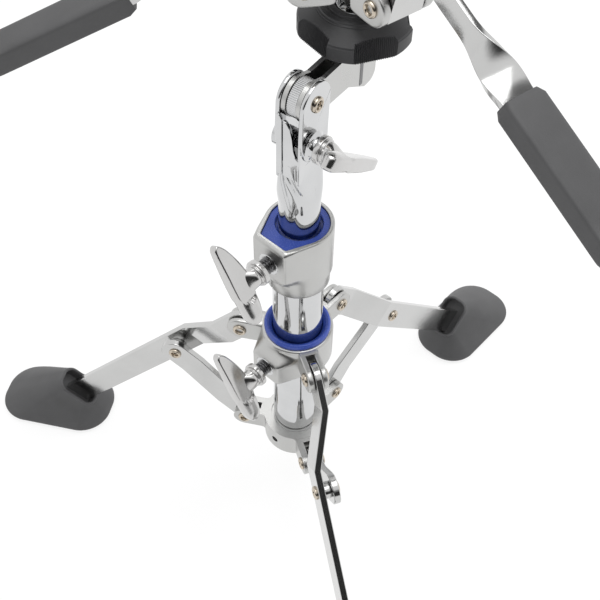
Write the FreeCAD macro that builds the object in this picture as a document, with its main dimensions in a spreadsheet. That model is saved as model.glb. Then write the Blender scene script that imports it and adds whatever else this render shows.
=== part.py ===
import FreeCAD, Part
import math
import os
import types
import Sketcher
from FreeCAD import Vector

# Driving dimensions, in millimetres and degrees.
# The floor is z = 0 and the upright tube stands on the z axis.
SIZES = {
    # fits
    "fit_gap": 0.05,
    "slide_gap": 0.06,
    "rest_gap": 0.3,
    # how far a cut runs past the face it leaves through
    "cut_over": 1.0,
    # upright tubes
    "tube_radius": 12.7,
    "tube_wall": 1.5,
    "upper_radius": 9.525,
    "upper_wall": 1.6,
    "upper_bottom": 82.0,
    # leg linkage, the same on all three sides
    "leg_azimuth": 30.0,
    "pivot_radius": 29.5,
    "link_length": 58.3,
    "rest_angle": 46.1,
    "bar_width": 16.2,
    "bar_thickness": 3.5,
    "bar_side_gap": 0.35,
    "bar_edge": 0.5,
    "leg_jog": 10.25,
    "strut_jog": 2.95,
    "jog_start": 16.0,
    "jog_length": 29.0,
    "slot_clearance": 0.9,
    # rivets
    "pin_radius": 2.3,
    "pin_bore": 1.1,
    "head_radius": 3.6,
    "head_height": 1.3,
    "spool_radius": 4.4,
    # fixed bottom hub
    "hub_base": 44.0,
    "hub_height": 16.0,
    "hub_radius": 18.0,
    "hub_pivot_drop": 6.6,
    "hub_lug_radius": 6.4,
    "hub_lug_width": 11.6,
    "hub_recess_width": 1.6,
    "hub_recess_depth": 0.8,
    "hub_blend": 3.0,
    "screw_radius": 2.0,
    "screw_recess": 2.4,
    # sliding leg collar
    "collar_radius": 18.5,
    "collar_below_pivot": 14.0,
    "collar_above_pivot": 7.2,
    "collar_lug_radius": 7.0,
    "collar_lug_width": 10.4,
    "collar_blend": 2.5,
    "collar_face": 24.5,
    "collar_face_half": 8.5,
    "collar_thread": 5.5,
    "boss_root_depth": 7.8,
    "boss_root_half": 16.3,
    "collar_boss_height": 15.0,
    "collar_boss_round": 3.0,
    "collar_bolt_rise": 9.0,
    "bush_wall": 1.9,
    "bush_flange_radius": 17.1,
    "bush_flange_height": 3.2,
    "bush_bevel": 1.1,
    # height clamp on top of the base tube
    "clamp_base": 184.0,
    "clamp_band": 9.0,
    "clamp_band_radius": 15.3,
    "clamp_height": 28.6,
    "clamp_radius": 16.3,
    "clamp_wall": 2.0,
    "clamp_face": 20.5,
    "clamp_face_wall": 3.0,
    "clamp_face_half": 9.75,
    "clamp_thread": 5.5,
    "clamp_taper": 7.5,
    "clamp_taper_half": 3.0,
    "clamp_round": 2.5,
    "clamp_bolt_rise": 25.0,
    "clamp_split": 0.8,
    "clamp_split_side": 3.0,
    "clamp_split_end": 7.6,
    "clamp_split_roof": 1.0,
    "tube_seat": 5.0,
    "insert_depth": 21.0,
    "insert_recess": 1.0,
    # wing bolts
    "bolt_radius": 3.9,
    "tilter_thread": 2.75,
    "bolt_ring_radius": 6.4,
    "bolt_ring_length": 3.6,
    "bolt_neck_radius": 5.0,
    "bolt_neck_length": 7.0,
    "blade_offset": 11.5,
    "blade_rise": 5.5,
    "blade_lean": 10.0,
    "blade_half_length": 17.0,
    "blade_half_width": 5.8,
    "blade_end_radius": 4.2,
    "blade_thickness": 4.0,
    "blade_round": 1.4,
    "tail_length": 15.3,
    "tail_radius": 4.2,
    "tail_thickness": 6.4,
    "lower_wing_roll": 31.0,
    "tilter_wing_roll": -136.0,
    # rubber feet
    "foot_mouth_back": 33.0,
    "foot_mouth_rise": 2.7,
    "foot_mouth_half_width": 9.0,
    "foot_mouth_half_height": 13.8,
    "foot_mouth_corner": 7.0,
    "foot_lip": 2.0,
    "foot_recess": 7.0,
    "foot_half_length": 35.3,
    "foot_half_width": 20.8,
    "foot_corner": 18.0,
    "foot_heel_shift": 2.0,
    "foot_side_shift": 2.0,
    "foot_sole": 4.0,
    "leg_in_foot": 17.0,
    # flattened and slotted top of the upper tube
    "tilter_azimuth": 37.2,
    "flatten_length": 24.0,
    "ear_length": 29.6,
    "ear_half": 9.6,
    "ear_radius": 9.8,
    "ear_wall": 2.0,
    "ear_corner": 1.8,
    "ear_slot_drop": 10.0,
    "tilter_offset": 1.2,
    "tilter_rise": 70.0,
    "tilter_bolt_drop": 21.0,
    # tilter arm
    "arm_channel_width": 9.0,
    "channel_wall": 2.0,
    "channel_floor": 2.0,
    "tilter_round": 9.0,
    "channel_below": 10.4,
    "channel_above": 6.0,
    "channel_dip": 8.0,
    "channel_dip_start": 9.8,
    "channel_dip_end": 3.2,
    "rod_reach": 38.0,
    "channel_end": 11.6,
    "channel_corner": 5.0,
    "ratchet_radius": 6.5,
    # basket rod, hand wheel and spiders
    "rod_radius": 4.0,
    "rod_below": 8.0,
    "knob_lift": 11.4,
    "knob_radius": 24.0,
    "knob_rim": 7.0,
    "knob_cone": 6.5,
    "knob_top_radius": 11.5,
    "knob_scallops": 5,
    "scallop_radius": 60.0,
    "scallop_depth": 2.6,
    "knob_turn": 17.8,
    "knob_insert_radius": 8.6,
    "knob_insert_recess": 2.0,
    "spider_height": 13.0,
    "lower_hub_radius": 11.0,
    "lower_pivot_radius": 22.6,
    "lower_lug_radius": 7.5,
    "cheek_wall": 4.0,
    "link_pivot_rise": 13.2,
    "basket_azimuth": -71.5,
    "spider_gap": 29.0,
    "upper_pivot_radius": 15.0,
    "upper_hub_radius": 9.5,
    "upper_lug_radius": 5.0,
    "upper_lug_width": 9.0,
    "upper_spider_height": 10.0,
    "top_nut_height": 6.0,
    "top_nut_radius": 7.0,
    # basket arms and links
    "arm_droop": 24.5,
    "arm_height": 10.0,
    "arm_thickness": 2.8,
    "arm_bar_length": 62.0,
    "arm_flare_length": 12.0,
    "arm_plate_width": 15.0,
    "arm_plate_thickness": 3.0,
    "arm_plate_length": 69.0,
    "link_point": 14.0,
    "link_width": 16.6,
    "link_wall": 2.0,
    "link_depth": 6.5,
    "link_web_rise": 15.0,
    "link_web_drop": 4.0,
    "link_end_radius": 5.0,
    # rubber basket tips
    "tip_wall": 3.5,
    "tip_side": 1.6,
    "tip_lip_height": 12.0,
    "tip_lip_length": 7.0,
    "tip_bare": 3.0,
    "tip_round": 1.5,
}

doc = FreeCAD.newDocument("drum_stand")
sheet = doc.addObject("Spreadsheet::Sheet", "sizes")
for row, (alias, amount) in enumerate(SIZES.items(), start=1):
    sheet.set(f"A{row}", alias)
    sheet.set(f"B{row}", str(amount))
    sheet.setAlias(f"B{row}", alias)
doc.recompute()


# Sizes written as expressions of the sheet's cells
def text_of(amount):
    """The words of an expression for a Size or a plain number."""
    if isinstance(amount, Size):
        return amount.text
    return f"({amount})"


class Size:
    """A length, angle or count that follows the cells of the sheet."""

    def __init__(self, text):
        self.text = text

    def __add__(self, other):
        return Size(f"({self.text} + {text_of(other)})")

    def __radd__(self, other):
        return Size(f"({text_of(other)} + {self.text})")

    def __sub__(self, other):
        return Size(f"({self.text} - {text_of(other)})")

    def __rsub__(self, other):
        return Size(f"({text_of(other)} - {self.text})")

    def __mul__(self, other):
        return Size(f"({self.text} * {text_of(other)})")

    def __rmul__(self, other):
        return Size(f"({text_of(other)} * {self.text})")

    def __truediv__(self, other):
        return Size(f"({self.text} / {text_of(other)})")

    def __neg__(self):
        return Size(f"(0 - {self.text})")


def sine(angle):
    return Size(f"sin({text_of(angle)})")


def cosine(angle):
    return Size(f"cos({text_of(angle)})")


def root(amount):
    return Size(f"sqrt({text_of(amount)})")


def number(amount):
    """The present value of a size."""
    result = sheet.evalExpression(text_of(amount))
    return float(getattr(result, "Value", result))


size = types.SimpleNamespace(**{alias: Size(f"sizes.{alias}") for alias in SIZES})


# Sketches whose points and radii follow the sheet
def new_body(name):
    body = doc.addObject("PartDesign::Body", name)
    body.Label = name
    return body


def origin_item(body, role):
    return next(item for item in body.Origin.OriginFeatures if item.Role == role)


def sketch_on(body, role, offset=0):
    """An empty sketch on one of the body's planes, moved along the plane's normal."""
    sketch = body.newObject("Sketcher::SketchObject", "sketch")
    sketch.AttachmentSupport = (origin_item(body, role), "")
    sketch.MapMode = "FlatFace"
    sketch.setExpression("AttachmentOffset.Base.z", text_of(offset))
    return sketch


def bind(sketch, kind, *reference, amount):
    """Add one dimension to a sketch and tie it to the sheet."""
    index = sketch.addConstraint(Sketcher.Constraint(kind, *reference, number(amount)))
    sketch.setExpression(f"Constraints[{index}]", text_of(amount))


def pin_point(sketch, edge, end, x, y):
    """Fix one point of a sketch edge at x, y."""
    for kind, axis, amount in (("DistanceX", -2, x), ("DistanceY", -1, y)):
        if isinstance(amount, Size):
            bind(sketch, kind, -1, 1, edge, end, amount=amount)
        elif amount == 0:
            sketch.addConstraint(Sketcher.Constraint("PointOnObject", edge, end, axis))
        else:
            sketch.addConstraint(Sketcher.Constraint(kind, -1, 1, edge, end, amount))


def outline(sketch, points, arcs=None):
    """A closed outline. arcs gives some sides a centre and a turn, 1 for anticlockwise."""
    arcs = arcs or {}
    corners = [Vector(number(x), number(y), 0) for x, y in points]
    count = len(points)
    ends = []
    first = sketch.GeometryCount
    for side, start in enumerate(corners):
        finish = corners[(side + 1) % count]
        if side not in arcs:
            sketch.addGeometry(Part.LineSegment(start, finish))
            ends.append((1, 2))
            continue
        centre_x, centre_y, turn = arcs[side]
        centre = Vector(number(centre_x), number(centre_y), 0)
        from_angle, to_angle = (math.atan2(p.y - centre.y, p.x - centre.x) for p in (start, finish))
        if turn < 0:
            from_angle, to_angle = to_angle, from_angle
        circle = Part.Circle(centre, Vector(0, 0, 1), (start - centre).Length)
        sketch.addGeometry(Part.ArcOfCircle(circle, from_angle, to_angle))
        ends.append((1, 2) if turn > 0 else (2, 1))
    for side in range(count):
        following = (side + 1) % count
        joined = Sketcher.Constraint("Coincident", first + side, ends[side][1],
                                     first + following, ends[following][0])
        sketch.addConstraint(joined)
    for side, (x, y) in enumerate(points):
        pin_point(sketch, first + side, ends[side][0], x, y)
    for side, (centre_x, centre_y, _) in arcs.items():
        chord = corners[(side + 1) % count] - corners[side]
        kind, amount = ("DistanceX", centre_x) if abs(chord.y) > abs(chord.x) else ("DistanceY", centre_y)
        if isinstance(amount, Size):
            bind(sketch, kind, -1, 1, first + side, 3, amount=amount)
        else:
            axis = -2 if kind == "DistanceX" else -1
            sketch.addConstraint(Sketcher.Constraint("PointOnObject", first + side, 3, axis))


def rectangle(sketch, low_x, low_y, high_x, high_y):
    outline(sketch, [(low_x, low_y), (high_x, low_y), (high_x, high_y), (low_x, high_y)])


def circle(sketch, x, y, radius):
    edge = sketch.addGeometry(Part.Circle(Vector(number(x), number(y), 0), Vector(0, 0, 1), number(radius)))
    pin_point(sketch, edge, 3, x, y)
    bind(sketch, "Radius", edge, amount=radius)


def rounded_rectangle(sketch, half_x, half_y, corner, centre=(0, 0)):
    """A rectangle whose corners are quarter circles."""
    x, y = centre
    flat_x = half_x - corner
    flat_y = half_y - corner
    points = [(x - flat_x, y - half_y), (x + flat_x, y - half_y),
              (x + half_x, y - flat_y), (x + half_x, y + flat_y),
              (x + flat_x, y + half_y), (x - flat_x, y + half_y),
              (x - half_x, y + flat_y), (x - half_x, y - flat_y)]
    arcs = {1: (x + flat_x, y - flat_y, 1), 3: (x + flat_x, y + flat_y, 1),
            5: (x - flat_x, y + flat_y, 1), 7: (x - flat_x, y - flat_y, 1)}
    outline(sketch, points, arcs)


# Solid features
def pad(body, sketch, length, centred=False):
    feature = body.newObject("PartDesign::Pad", "pad")
    feature.Profile = sketch
    feature.setExpression("Length", text_of(length))
    feature.Midplane = centred
    return feature


def pocket(body, sketch, length, centred=False, flipped=False):
    """Cut a sketch into the body and make sure that something was removed."""
    doc.recompute()
    before = body.Shape.Volume
    feature = body.newObject("PartDesign::Pocket", "pocket")
    feature.Profile = sketch
    feature.setExpression("Length", text_of(length))
    feature.Midplane = centred
    feature.Reversed = flipped
    doc.recompute()
    if body.Shape.Volume > before - 1e-6:
        raise RuntimeError(f"a pocket of {body.Label} cut nothing")
    return feature


def turned(body, sketch, axis):
    """Revolve a sketch a full turn about its own H_Axis or V_Axis."""
    feature = body.newObject("PartDesign::Revolution", "turned")
    feature.Profile = sketch
    feature.ReferenceAxis = (sketch, [axis])
    feature.Angle = 360
    return feature


def around(body, features, count):
    """Repeat features evenly about the body's z axis."""
    pattern = body.newObject("PartDesign::PolarPattern", "around")
    pattern.Originals = features
    pattern.Axis = (origin_item(body, "Z_Axis"), [""])
    pattern.Angle = 360
    pattern.setExpression("Occurrences", text_of(count))
    body.Tip = pattern
    doc.recompute()
    return pattern


def round_edges(body, radius, wanted):
    """Fillet the edges for which wanted says yes, given the edge's ends and middle."""
    doc.recompute()
    base = body.Tip
    chosen = []
    for index, edge in enumerate(base.Shape.Edges, start=1):
        middle = edge.valueAt((edge.FirstParameter + edge.LastParameter) / 2)
        if wanted(edge.valueAt(edge.FirstParameter), middle, edge.valueAt(edge.LastParameter)):
            chosen.append(f"Edge{index}")
    if not chosen:
        raise RuntimeError(f"no edge of {body.Label} to round")
    fillet = body.newObject("PartDesign::Fillet", "rounding")
    fillet.Base = (base, chosen)
    fillet.setExpression("Radius", text_of(radius))
    doc.recompute()


def near(first, second):
    return abs(first - second) < 0.02


# Placements as a chain of moves and turns
def move(x, y, z):
    return f"placement(vector({text_of(x)}; {text_of(y)}; {text_of(z)}); rotation(vector(0; 0; 1); 0))"


def turn(axis, angle):
    vector = {"x": "1; 0; 0", "y": "0; 1; 0", "z": "0; 0; 1"}[axis]
    return f"placement(vector(0; 0; 0); rotation(vector({vector}); {text_of(angle)}))"


def place(piece, *steps):
    piece.setExpression("Placement", " * ".join(steps))


pieces = []


def group(name, bodies):
    """One node made of several like pieces."""
    compound = doc.addObject("Part::Compound", name)
    compound.Label = name
    compound.Links = bodies
    pieces.append(compound)


# Heights and places that several pieces share
hub_top = size.hub_base + size.hub_height
hub_pivot_z = hub_top - size.hub_pivot_drop
collar_pivot_z = hub_pivot_z + 2 * size.link_length * sine(size.rest_angle)
collar_base = collar_pivot_z - size.collar_below_pivot
collar_top = collar_pivot_z + size.collar_above_pivot
clamp_body_base = size.clamp_base + size.clamp_band
clamp_top = clamp_body_base + size.clamp_height
tilter_z = clamp_top + size.tilter_rise
clevis_slot = size.bar_thickness + 2 * size.bar_side_gap
bar_end = size.bar_width / 2
bolt_side = turn("z", size.leg_azimuth + 180)
leg_names = {"right": 0, "left": 120, "front": 240}


# Base tube: a plain chrome tube from the hub up into the height clamp
tube_top = clamp_body_base + size.tube_seat
base_tube = new_body("base_tube")
section = sketch_on(base_tube, "XZ_Plane")
rectangle(section, size.tube_radius - size.tube_wall, size.hub_base, size.tube_radius, tube_top)
turned(base_tube, section, "V_Axis")
pieces.append(base_tube)


# Castings with three clevis lugs, shared by the hub and the collar
def lug_ring(name, base, height, radius, pivot_z, lug_radius, lug_width, bore):
    """A ring with three slotted lugs. One lug points along x."""
    body = new_body(name)
    plan = sketch_on(body, "XY_Plane", base)
    circle(plan, 0, 0, radius)
    pad(body, plan, height)
    side = sketch_on(body, "XZ_Plane")
    lug_root = (bore + radius) / 2
    outline(side,
            [(lug_root, pivot_z - lug_radius), (size.pivot_radius, pivot_z - lug_radius),
             (size.pivot_radius, pivot_z + lug_radius), (lug_root, pivot_z + lug_radius)],
            {1: (size.pivot_radius, pivot_z, 1)})
    lug = pad(body, side, lug_width, centred=True)
    gap = sketch_on(body, "XZ_Plane")
    rectangle(gap, size.pivot_radius - bar_end - size.slot_clearance, base - size.cut_over,
              size.pivot_radius + lug_radius + size.cut_over, base + height + size.cut_over)
    slot = pocket(body, gap, clevis_slot, centred=True)
    eye = sketch_on(body, "XZ_Plane")
    circle(eye, size.pivot_radius, pivot_z, size.pin_radius + size.fit_gap)
    hole = pocket(body, eye, lug_width + size.cut_over, centred=True)
    around(body, [lug, slot, hole], 3)
    middle = sketch_on(body, "XY_Plane", base + height / 2)
    circle(middle, 0, 0, bore)
    pocket(body, middle, height + 2 * size.cut_over, centred=True)
    return body


def blend_lugs(body, radius, lug_width, blend):
    """Round the inside corners where the lugs leave the ring."""
    half = number(lug_width) / 2
    reach = math.sqrt(number(radius) ** 2 - half ** 2)
    spots = []
    for step in range(3):
        for sign in (-1, 1):
            corner = Vector(reach, sign * half, 0)
            spots.append(FreeCAD.Rotation(Vector(0, 0, 1), 120 * step).multVec(corner))

    def is_corner(start, middle, finish):
        upright = near(start.x, finish.x) and near(start.y, finish.y)
        return upright and any(near(middle.x, s.x) and near(middle.y, s.y) for s in spots)

    round_edges(body, blend, is_corner)


def cross_hole(body, z, radius, reach):
    """A round hole from the tube's axis out through the wall on the side away from x."""
    face = sketch_on(body, "YZ_Plane")
    circle(face, 0, z, radius)
    pocket(body, face, reach)


# Bottom hub: fixed to the base tube, carries the three struts
hub_screw_z = size.hub_base + size.hub_height / 2
leg_hub = lug_ring("leg_hub", size.hub_base, size.hub_height, size.hub_radius, hub_pivot_z,
                   size.hub_lug_radius, size.hub_lug_width, size.tube_radius + size.fit_gap)
blend_lugs(leg_hub, size.hub_radius, size.hub_lug_width, size.hub_blend)
recess = sketch_on(leg_hub, "XY_Plane", hub_top)
circle(recess, 0, 0, size.tube_radius + size.hub_recess_width)
pocket(leg_hub, recess, size.hub_recess_depth)
cross_hole(leg_hub, hub_screw_z, size.screw_radius + size.fit_gap, size.hub_radius + size.cut_over)
place(leg_hub, turn("z", size.leg_azimuth))
pieces.append(leg_hub)

hub_set_screw = new_body("hub_set_screw")
section = sketch_on(hub_set_screw, "XY_Plane")
rectangle(section, size.tube_radius + size.fit_gap, 0, size.hub_radius - size.screw_recess,
          size.screw_radius)
turned(hub_set_screw, section, "H_Axis")
place(hub_set_screw, bolt_side, move(0, 0, hub_screw_z))
pieces.append(hub_set_screw)


# Tubular rivets: a hollow shank with a head at each end, lying along y
def rivet(name, low, high, low_head=True, high_head=True, shank=size.pin_radius):
    body = new_body(name)
    section = sketch_on(body, "XY_Plane")
    crown = size.head_height / 2
    bevel = size.head_radius - crown
    points = [(size.pin_bore, low)]
    if low_head:
        points = [(size.pin_bore, low - size.head_height), (bevel, low - size.head_height),
                  (size.head_radius, low - crown), (size.head_radius, low)]
    points.append((shank, low))
    points.append((shank, high))
    if high_head:
        points += [(size.head_radius, high), (size.head_radius, high + crown),
                   (bevel, high + size.head_height), (size.pin_bore, high + size.head_height)]
    else:
        points.append((size.pin_bore, high))
    outline(section, points)
    turned(body, section, "V_Axis")
    return body


def lug_rivets(name, lug_width, pivot_z):
    """The three rivets of a ring's clevis lugs."""
    rivets = []
    for step in range(3):
        pin = rivet(f"{name}_{step + 1}", -lug_width / 2, lug_width / 2)
        place(pin, turn("z", size.leg_azimuth + 120 * step), move(size.pivot_radius, 0, pivot_z))
        rivets.append(pin)
    group(name, rivets)


lug_rivets("hub_rivets", size.hub_lug_width, hub_pivot_z)

# Leg collar: slides on the base tube, carries the three legs and a wing bolt
collar_bore = size.tube_radius + size.slide_gap + size.bush_wall + size.fit_gap
collar_height = size.collar_below_pivot + size.collar_above_pivot
collar_bolt_z = collar_base + size.collar_bolt_rise
leg_collar = lug_ring("leg_collar", collar_base, collar_height, size.collar_radius, collar_pivot_z,
                      size.collar_lug_radius, size.collar_lug_width, collar_bore)
blend_lugs(leg_collar, size.collar_radius, size.collar_lug_width, size.collar_blend)
boss = sketch_on(leg_collar, "XY_Plane", collar_base)
outline(boss, [(-size.collar_face, -size.collar_face_half), (-size.boss_root_depth, -size.boss_root_half),
               (-size.boss_root_depth, size.boss_root_half), (-size.collar_face, size.collar_face_half)])
pad(leg_collar, boss, size.collar_boss_height)
face_x = -number(size.collar_face)


def on_boss_face(start, middle, finish):
    return near(start.x, face_x) and near(finish.x, face_x)


round_edges(leg_collar, size.collar_boss_round, on_boss_face)
middle = sketch_on(leg_collar, "XY_Plane", collar_base + collar_height / 2)
circle(middle, 0, 0, collar_bore)
pocket(leg_collar, middle, collar_height + 2 * size.cut_over, centred=True)
cross_hole(leg_collar, collar_bolt_z, size.bolt_radius + size.slide_gap, size.collar_face + size.cut_over)
place(leg_collar, turn("z", size.leg_azimuth))
pieces.append(leg_collar)
lug_rivets("collar_rivets", size.collar_lug_width, collar_pivot_z)

# Collar bush: a blue nylon sleeve whose flange shows on top of the collar
collar_bush = new_body("collar_bush")
section = sketch_on(collar_bush, "XZ_Plane")
bush_inside = size.tube_radius + size.slide_gap
bush_outside = bush_inside + size.bush_wall
flange_top = collar_top + size.bush_flange_height
outline(section, [(bush_inside, collar_base), (bush_outside, collar_base), (bush_outside, collar_top),
                  (size.bush_flange_radius, collar_top),
                  (size.bush_flange_radius, flange_top - size.bush_bevel),
                  (size.bush_flange_radius - size.bush_bevel, flange_top),
                  (bush_inside + size.bush_bevel, flange_top), (bush_inside, flange_top - size.bush_bevel)])
turned(collar_bush, section, "V_Axis")
cross_hole(collar_bush, collar_bolt_z, size.bolt_radius + size.slide_gap, size.collar_face)
place(collar_bush, turn("z", size.leg_azimuth))
pieces.append(collar_bush)


# Height clamp: a round casting drawn out to a flat face for its wing bolt
def teardrop(sketch, radius, face, half):
    """A circle about the axis with two tangents to the ends of a flat on its far side."""
    square = face * face + half * half
    along = radius * radius / square
    across = radius * root(square - radius * radius) / square
    touch_x = across * half - along * face
    touch_y = along * half + across * face
    outline(sketch, [(-face, -half), (touch_x, -touch_y), (touch_x, touch_y), (-face, half)], {1: (0, 0, 1)})


height_clamp = new_body("height_clamp")
taper_top = clamp_body_base + size.clamp_taper
plan = sketch_on(height_clamp, "XY_Plane", taper_top)
teardrop(plan, size.clamp_radius, size.clamp_face, size.clamp_face_half)
pad(height_clamp, plan, clamp_top - taper_top)
clamp_face_x = -number(size.clamp_face)
clamp_rim_z = number(clamp_top)


def on_clamp_face(start, middle, finish):
    top = near(start.z, clamp_rim_z) and near(finish.z, clamp_rim_z)
    upright = near(start.y, finish.y)
    return near(start.x, clamp_face_x) and near(finish.x, clamp_face_x) and (top or upright)


round_edges(height_clamp, size.clamp_round, on_clamp_face)
# below the bolt the flat face runs down into the round band
shoulder = sketch_on(height_clamp, "XY_Plane", taper_top)
teardrop(shoulder, size.clamp_radius, size.clamp_face, size.clamp_face_half - size.clamp_round)
throat = sketch_on(height_clamp, "XY_Plane", clamp_body_base)
teardrop(throat, size.clamp_radius, size.clamp_radius + size.rest_gap, size.clamp_taper_half)
taper = height_clamp.newObject("PartDesign::AdditiveLoft", "taper")
taper.Profile = shoulder
taper.Sections = [throat]
taper.Ruled = True
band = sketch_on(height_clamp, "XY_Plane", size.clamp_base)
circle(band, 0, 0, size.clamp_band_radius)
pad(height_clamp, band, size.clamp_band + size.tube_seat)
insert_face = size.clamp_face - size.clamp_face_wall
insert_half = size.clamp_face_half - size.clamp_wall
insert_radius = size.clamp_radius - size.clamp_wall
hollow = sketch_on(height_clamp, "XY_Plane", clamp_top)
teardrop(hollow, insert_radius, insert_face, insert_half)
pocket(height_clamp, hollow, size.insert_depth)
bore = sketch_on(height_clamp, "XY_Plane", size.clamp_base)
circle(bore, 0, 0, size.tube_radius + size.fit_gap)
pocket(height_clamp, bore, size.clamp_height, flipped=True)
split = sketch_on(height_clamp, "XY_Plane", size.clamp_base)
rectangle(split, -size.clamp_band_radius - size.cut_over, size.clamp_split_side, -size.clamp_split_end,
          size.clamp_split_side + size.clamp_split)
pocket(height_clamp, split, size.clamp_band - size.clamp_split_roof, flipped=True)
clamp_bolt_z = size.clamp_base + size.clamp_bolt_rise
cross_hole(height_clamp, clamp_bolt_z, size.bolt_radius + size.slide_gap, size.clamp_face + size.cut_over)
place(height_clamp, turn("z", size.leg_azimuth))
pieces.append(height_clamp)

# Height bush: the blue nylon insert in the clamp that guides the upper tube
height_bush = new_body("height_bush")
bush_length = size.insert_depth - size.insert_recess - size.fit_gap
plan = sketch_on(height_bush, "XY_Plane", clamp_top - size.insert_depth + size.fit_gap)
teardrop(plan, insert_radius - size.fit_gap, insert_face - size.fit_gap, insert_half - size.fit_gap)
pad(height_bush, plan, bush_length)
bore = sketch_on(height_bush, "XY_Plane", clamp_top)
circle(bore, 0, 0, size.upper_radius + size.slide_gap)
pocket(height_bush, bore, size.insert_depth + size.cut_over)
cross_hole(height_bush, clamp_bolt_z, size.bolt_radius + size.slide_gap, size.clamp_face)
place(height_bush, turn("z", size.leg_azimuth))
pieces.append(height_bush)


# Wing bolts: a threaded shank, a ring and a cast wing with a long oval blade and a short tail
def wing_bolt(name, shank_length):
    """The bolt lies along x, with the inner face of its ring at the origin and its blade up z."""
    body = new_body(name)
    blade = sketch_on(body, "XZ_Plane")
    # four-centre oval, its tip leaning outward: two end arcs and two flat side arcs that meet them smoothly
    long_half = size.blade_half_length
    wide_half = size.blade_half_width
    end_radius = size.blade_end_radius
    reach = long_half - end_radius
    side_radius = ((long_half * long_half + wide_half * wide_half - 2 * long_half * end_radius)
                   / (2 * (wide_half - end_radius)))
    side_centre = side_radius - wide_half
    scale = side_radius / (side_radius - end_radius)
    touch_z = reach * scale
    touch_x = side_centre * scale - side_centre
    lean_sine = sine(size.blade_lean)
    lean_cosine = cosine(size.blade_lean)

    def leaned(across, along):
        return (size.blade_offset + across * lean_cosine + along * lean_sine,
                size.blade_rise + along * lean_cosine - across * lean_sine)

    outline(blade,
            [leaned(touch_x, -touch_z), leaned(touch_x, touch_z), leaned(-touch_x, touch_z),
             leaned(-touch_x, -touch_z)],
            {0: (*leaned(-side_centre, 0), 1), 1: (*leaned(0, reach), 1),
             2: (*leaned(side_centre, 0), 1), 3: (*leaned(0, -reach), 1)})
    pad(body, blade, size.blade_thickness, centred=True)
    half = number(size.blade_thickness) / 2

    def on_blade_rim(start, middle, finish):
        return near(abs(start.y), half) and near(start.y, finish.y)

    round_edges(body, size.blade_round, on_blade_rim)
    tail = sketch_on(body, "XZ_Plane")
    tail_end = -size.tail_length
    low_x = size.blade_offset - size.tail_radius
    high_x = size.blade_offset + size.tail_radius
    outline(tail, [(low_x, 0), (low_x, tail_end), (high_x, tail_end), (high_x, 0)],
            {1: (size.blade_offset, tail_end, 1)})
    pad(body, tail, size.tail_thickness, centred=True)
    section = sketch_on(body, "XY_Plane")
    neck_end = size.bolt_ring_length + size.bolt_neck_length
    outline(section, [(-shank_length, 0), (neck_end, 0), (neck_end, size.bolt_neck_radius),
                      (size.bolt_ring_length, size.bolt_neck_radius),
                      (size.bolt_ring_length, size.bolt_ring_radius), (0, size.bolt_ring_radius),
                      (0, size.bolt_radius), (-shank_length, size.bolt_radius)])
    turned(body, section, "H_Axis")
    pieces.append(body)
    return body


collar_ring = size.collar_face + size.collar_thread
collar_wing_bolt = wing_bolt("collar_wing_bolt", collar_ring - size.tube_radius - size.rest_gap)
place(collar_wing_bolt, bolt_side, move(collar_ring, 0, collar_bolt_z), turn("x", size.lower_wing_roll))
clamp_ring = size.clamp_face + size.clamp_thread
clamp_wing_bolt = wing_bolt("clamp_wing_bolt", clamp_ring - size.upper_radius - size.rest_gap)
place(clamp_wing_bolt, bolt_side, move(clamp_ring, 0, clamp_bolt_z), turn("x", size.lower_wing_roll))


# Legs and struts: flat bars on edge, jogged sideways so that they pass each other
def jogged_bar(name, jog, length, end_round):
    """A bar along x from its pivot at the origin, stepping sideways to -y by jog."""
    body = new_body(name)
    half = size.bar_thickness / 2
    slope = jog / size.jog_length
    corner = half * (root(1 + slope * slope) - 1) / slope
    jog_end = size.jog_start + size.jog_length
    plan = sketch_on(body, "XY_Plane")
    outline(plan, [(-bar_end, -half), (size.jog_start - corner, -half), (jog_end - corner, -jog - half),
                   (length, -jog - half), (length, half - jog), (jog_end + corner, half - jog),
                   (size.jog_start + corner, half), (-bar_end, half)])
    pad(body, plan, size.bar_width, centred=True)
    ends = [-number(bar_end)]
    if end_round:
        ends.append(number(length))
    limit = number(bar_end)

    def is_end_corner(start, middle, finish):
        at_end = any(near(start.x, x) and near(finish.x, x) for x in ends)
        return at_end and near(abs(middle.z), limit) and near(start.z, finish.z)

    round_edges(body, bar_end - size.fit_gap, is_end_corner)

    def is_long_edge(start, middle, finish):
        on_rim = near(abs(start.z), limit) and near(abs(finish.z), limit)
        return on_rim and not near(start.x, finish.x)

    round_edges(body, size.bar_edge, is_long_edge)
    for x in (0, size.link_length):
        eye = sketch_on(body, "XZ_Plane")
        circle(eye, x, 0, size.pin_radius + size.slide_gap)
        pocket(body, eye, 2 * (jog + size.bar_thickness), centred=True)
    pieces.append(body)
    return body


strut_face = size.strut_jog + size.bar_thickness / 2
leg_face = size.leg_jog - size.bar_thickness / 2
floor_reach = collar_pivot_z / sine(size.rest_angle)
mouth_reach = floor_reach - size.foot_mouth_back
sole_r = size.pivot_radius + floor_reach * cosine(size.rest_angle) - size.foot_heel_shift


def mouth_sketch(body):
    """A sketch square to the leg, round the middle of the foot's mouth."""
    sketch = sketch_on(body, "YZ_Plane")
    lean_run = mouth_reach * cosine(size.rest_angle) + size.foot_mouth_rise * sine(size.rest_angle)
    lean_fall = mouth_reach * sine(size.rest_angle) - size.foot_mouth_rise * cosine(size.rest_angle)
    centre = move(-size.leg_jog, collar_pivot_z - lean_fall, size.pivot_radius + lean_run)
    sketch.setExpression("AttachmentOffset.Base.z", None)
    sketch.setExpression("AttachmentOffset", f"{centre} * {turn('x', size.rest_angle)}")
    return sketch


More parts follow.
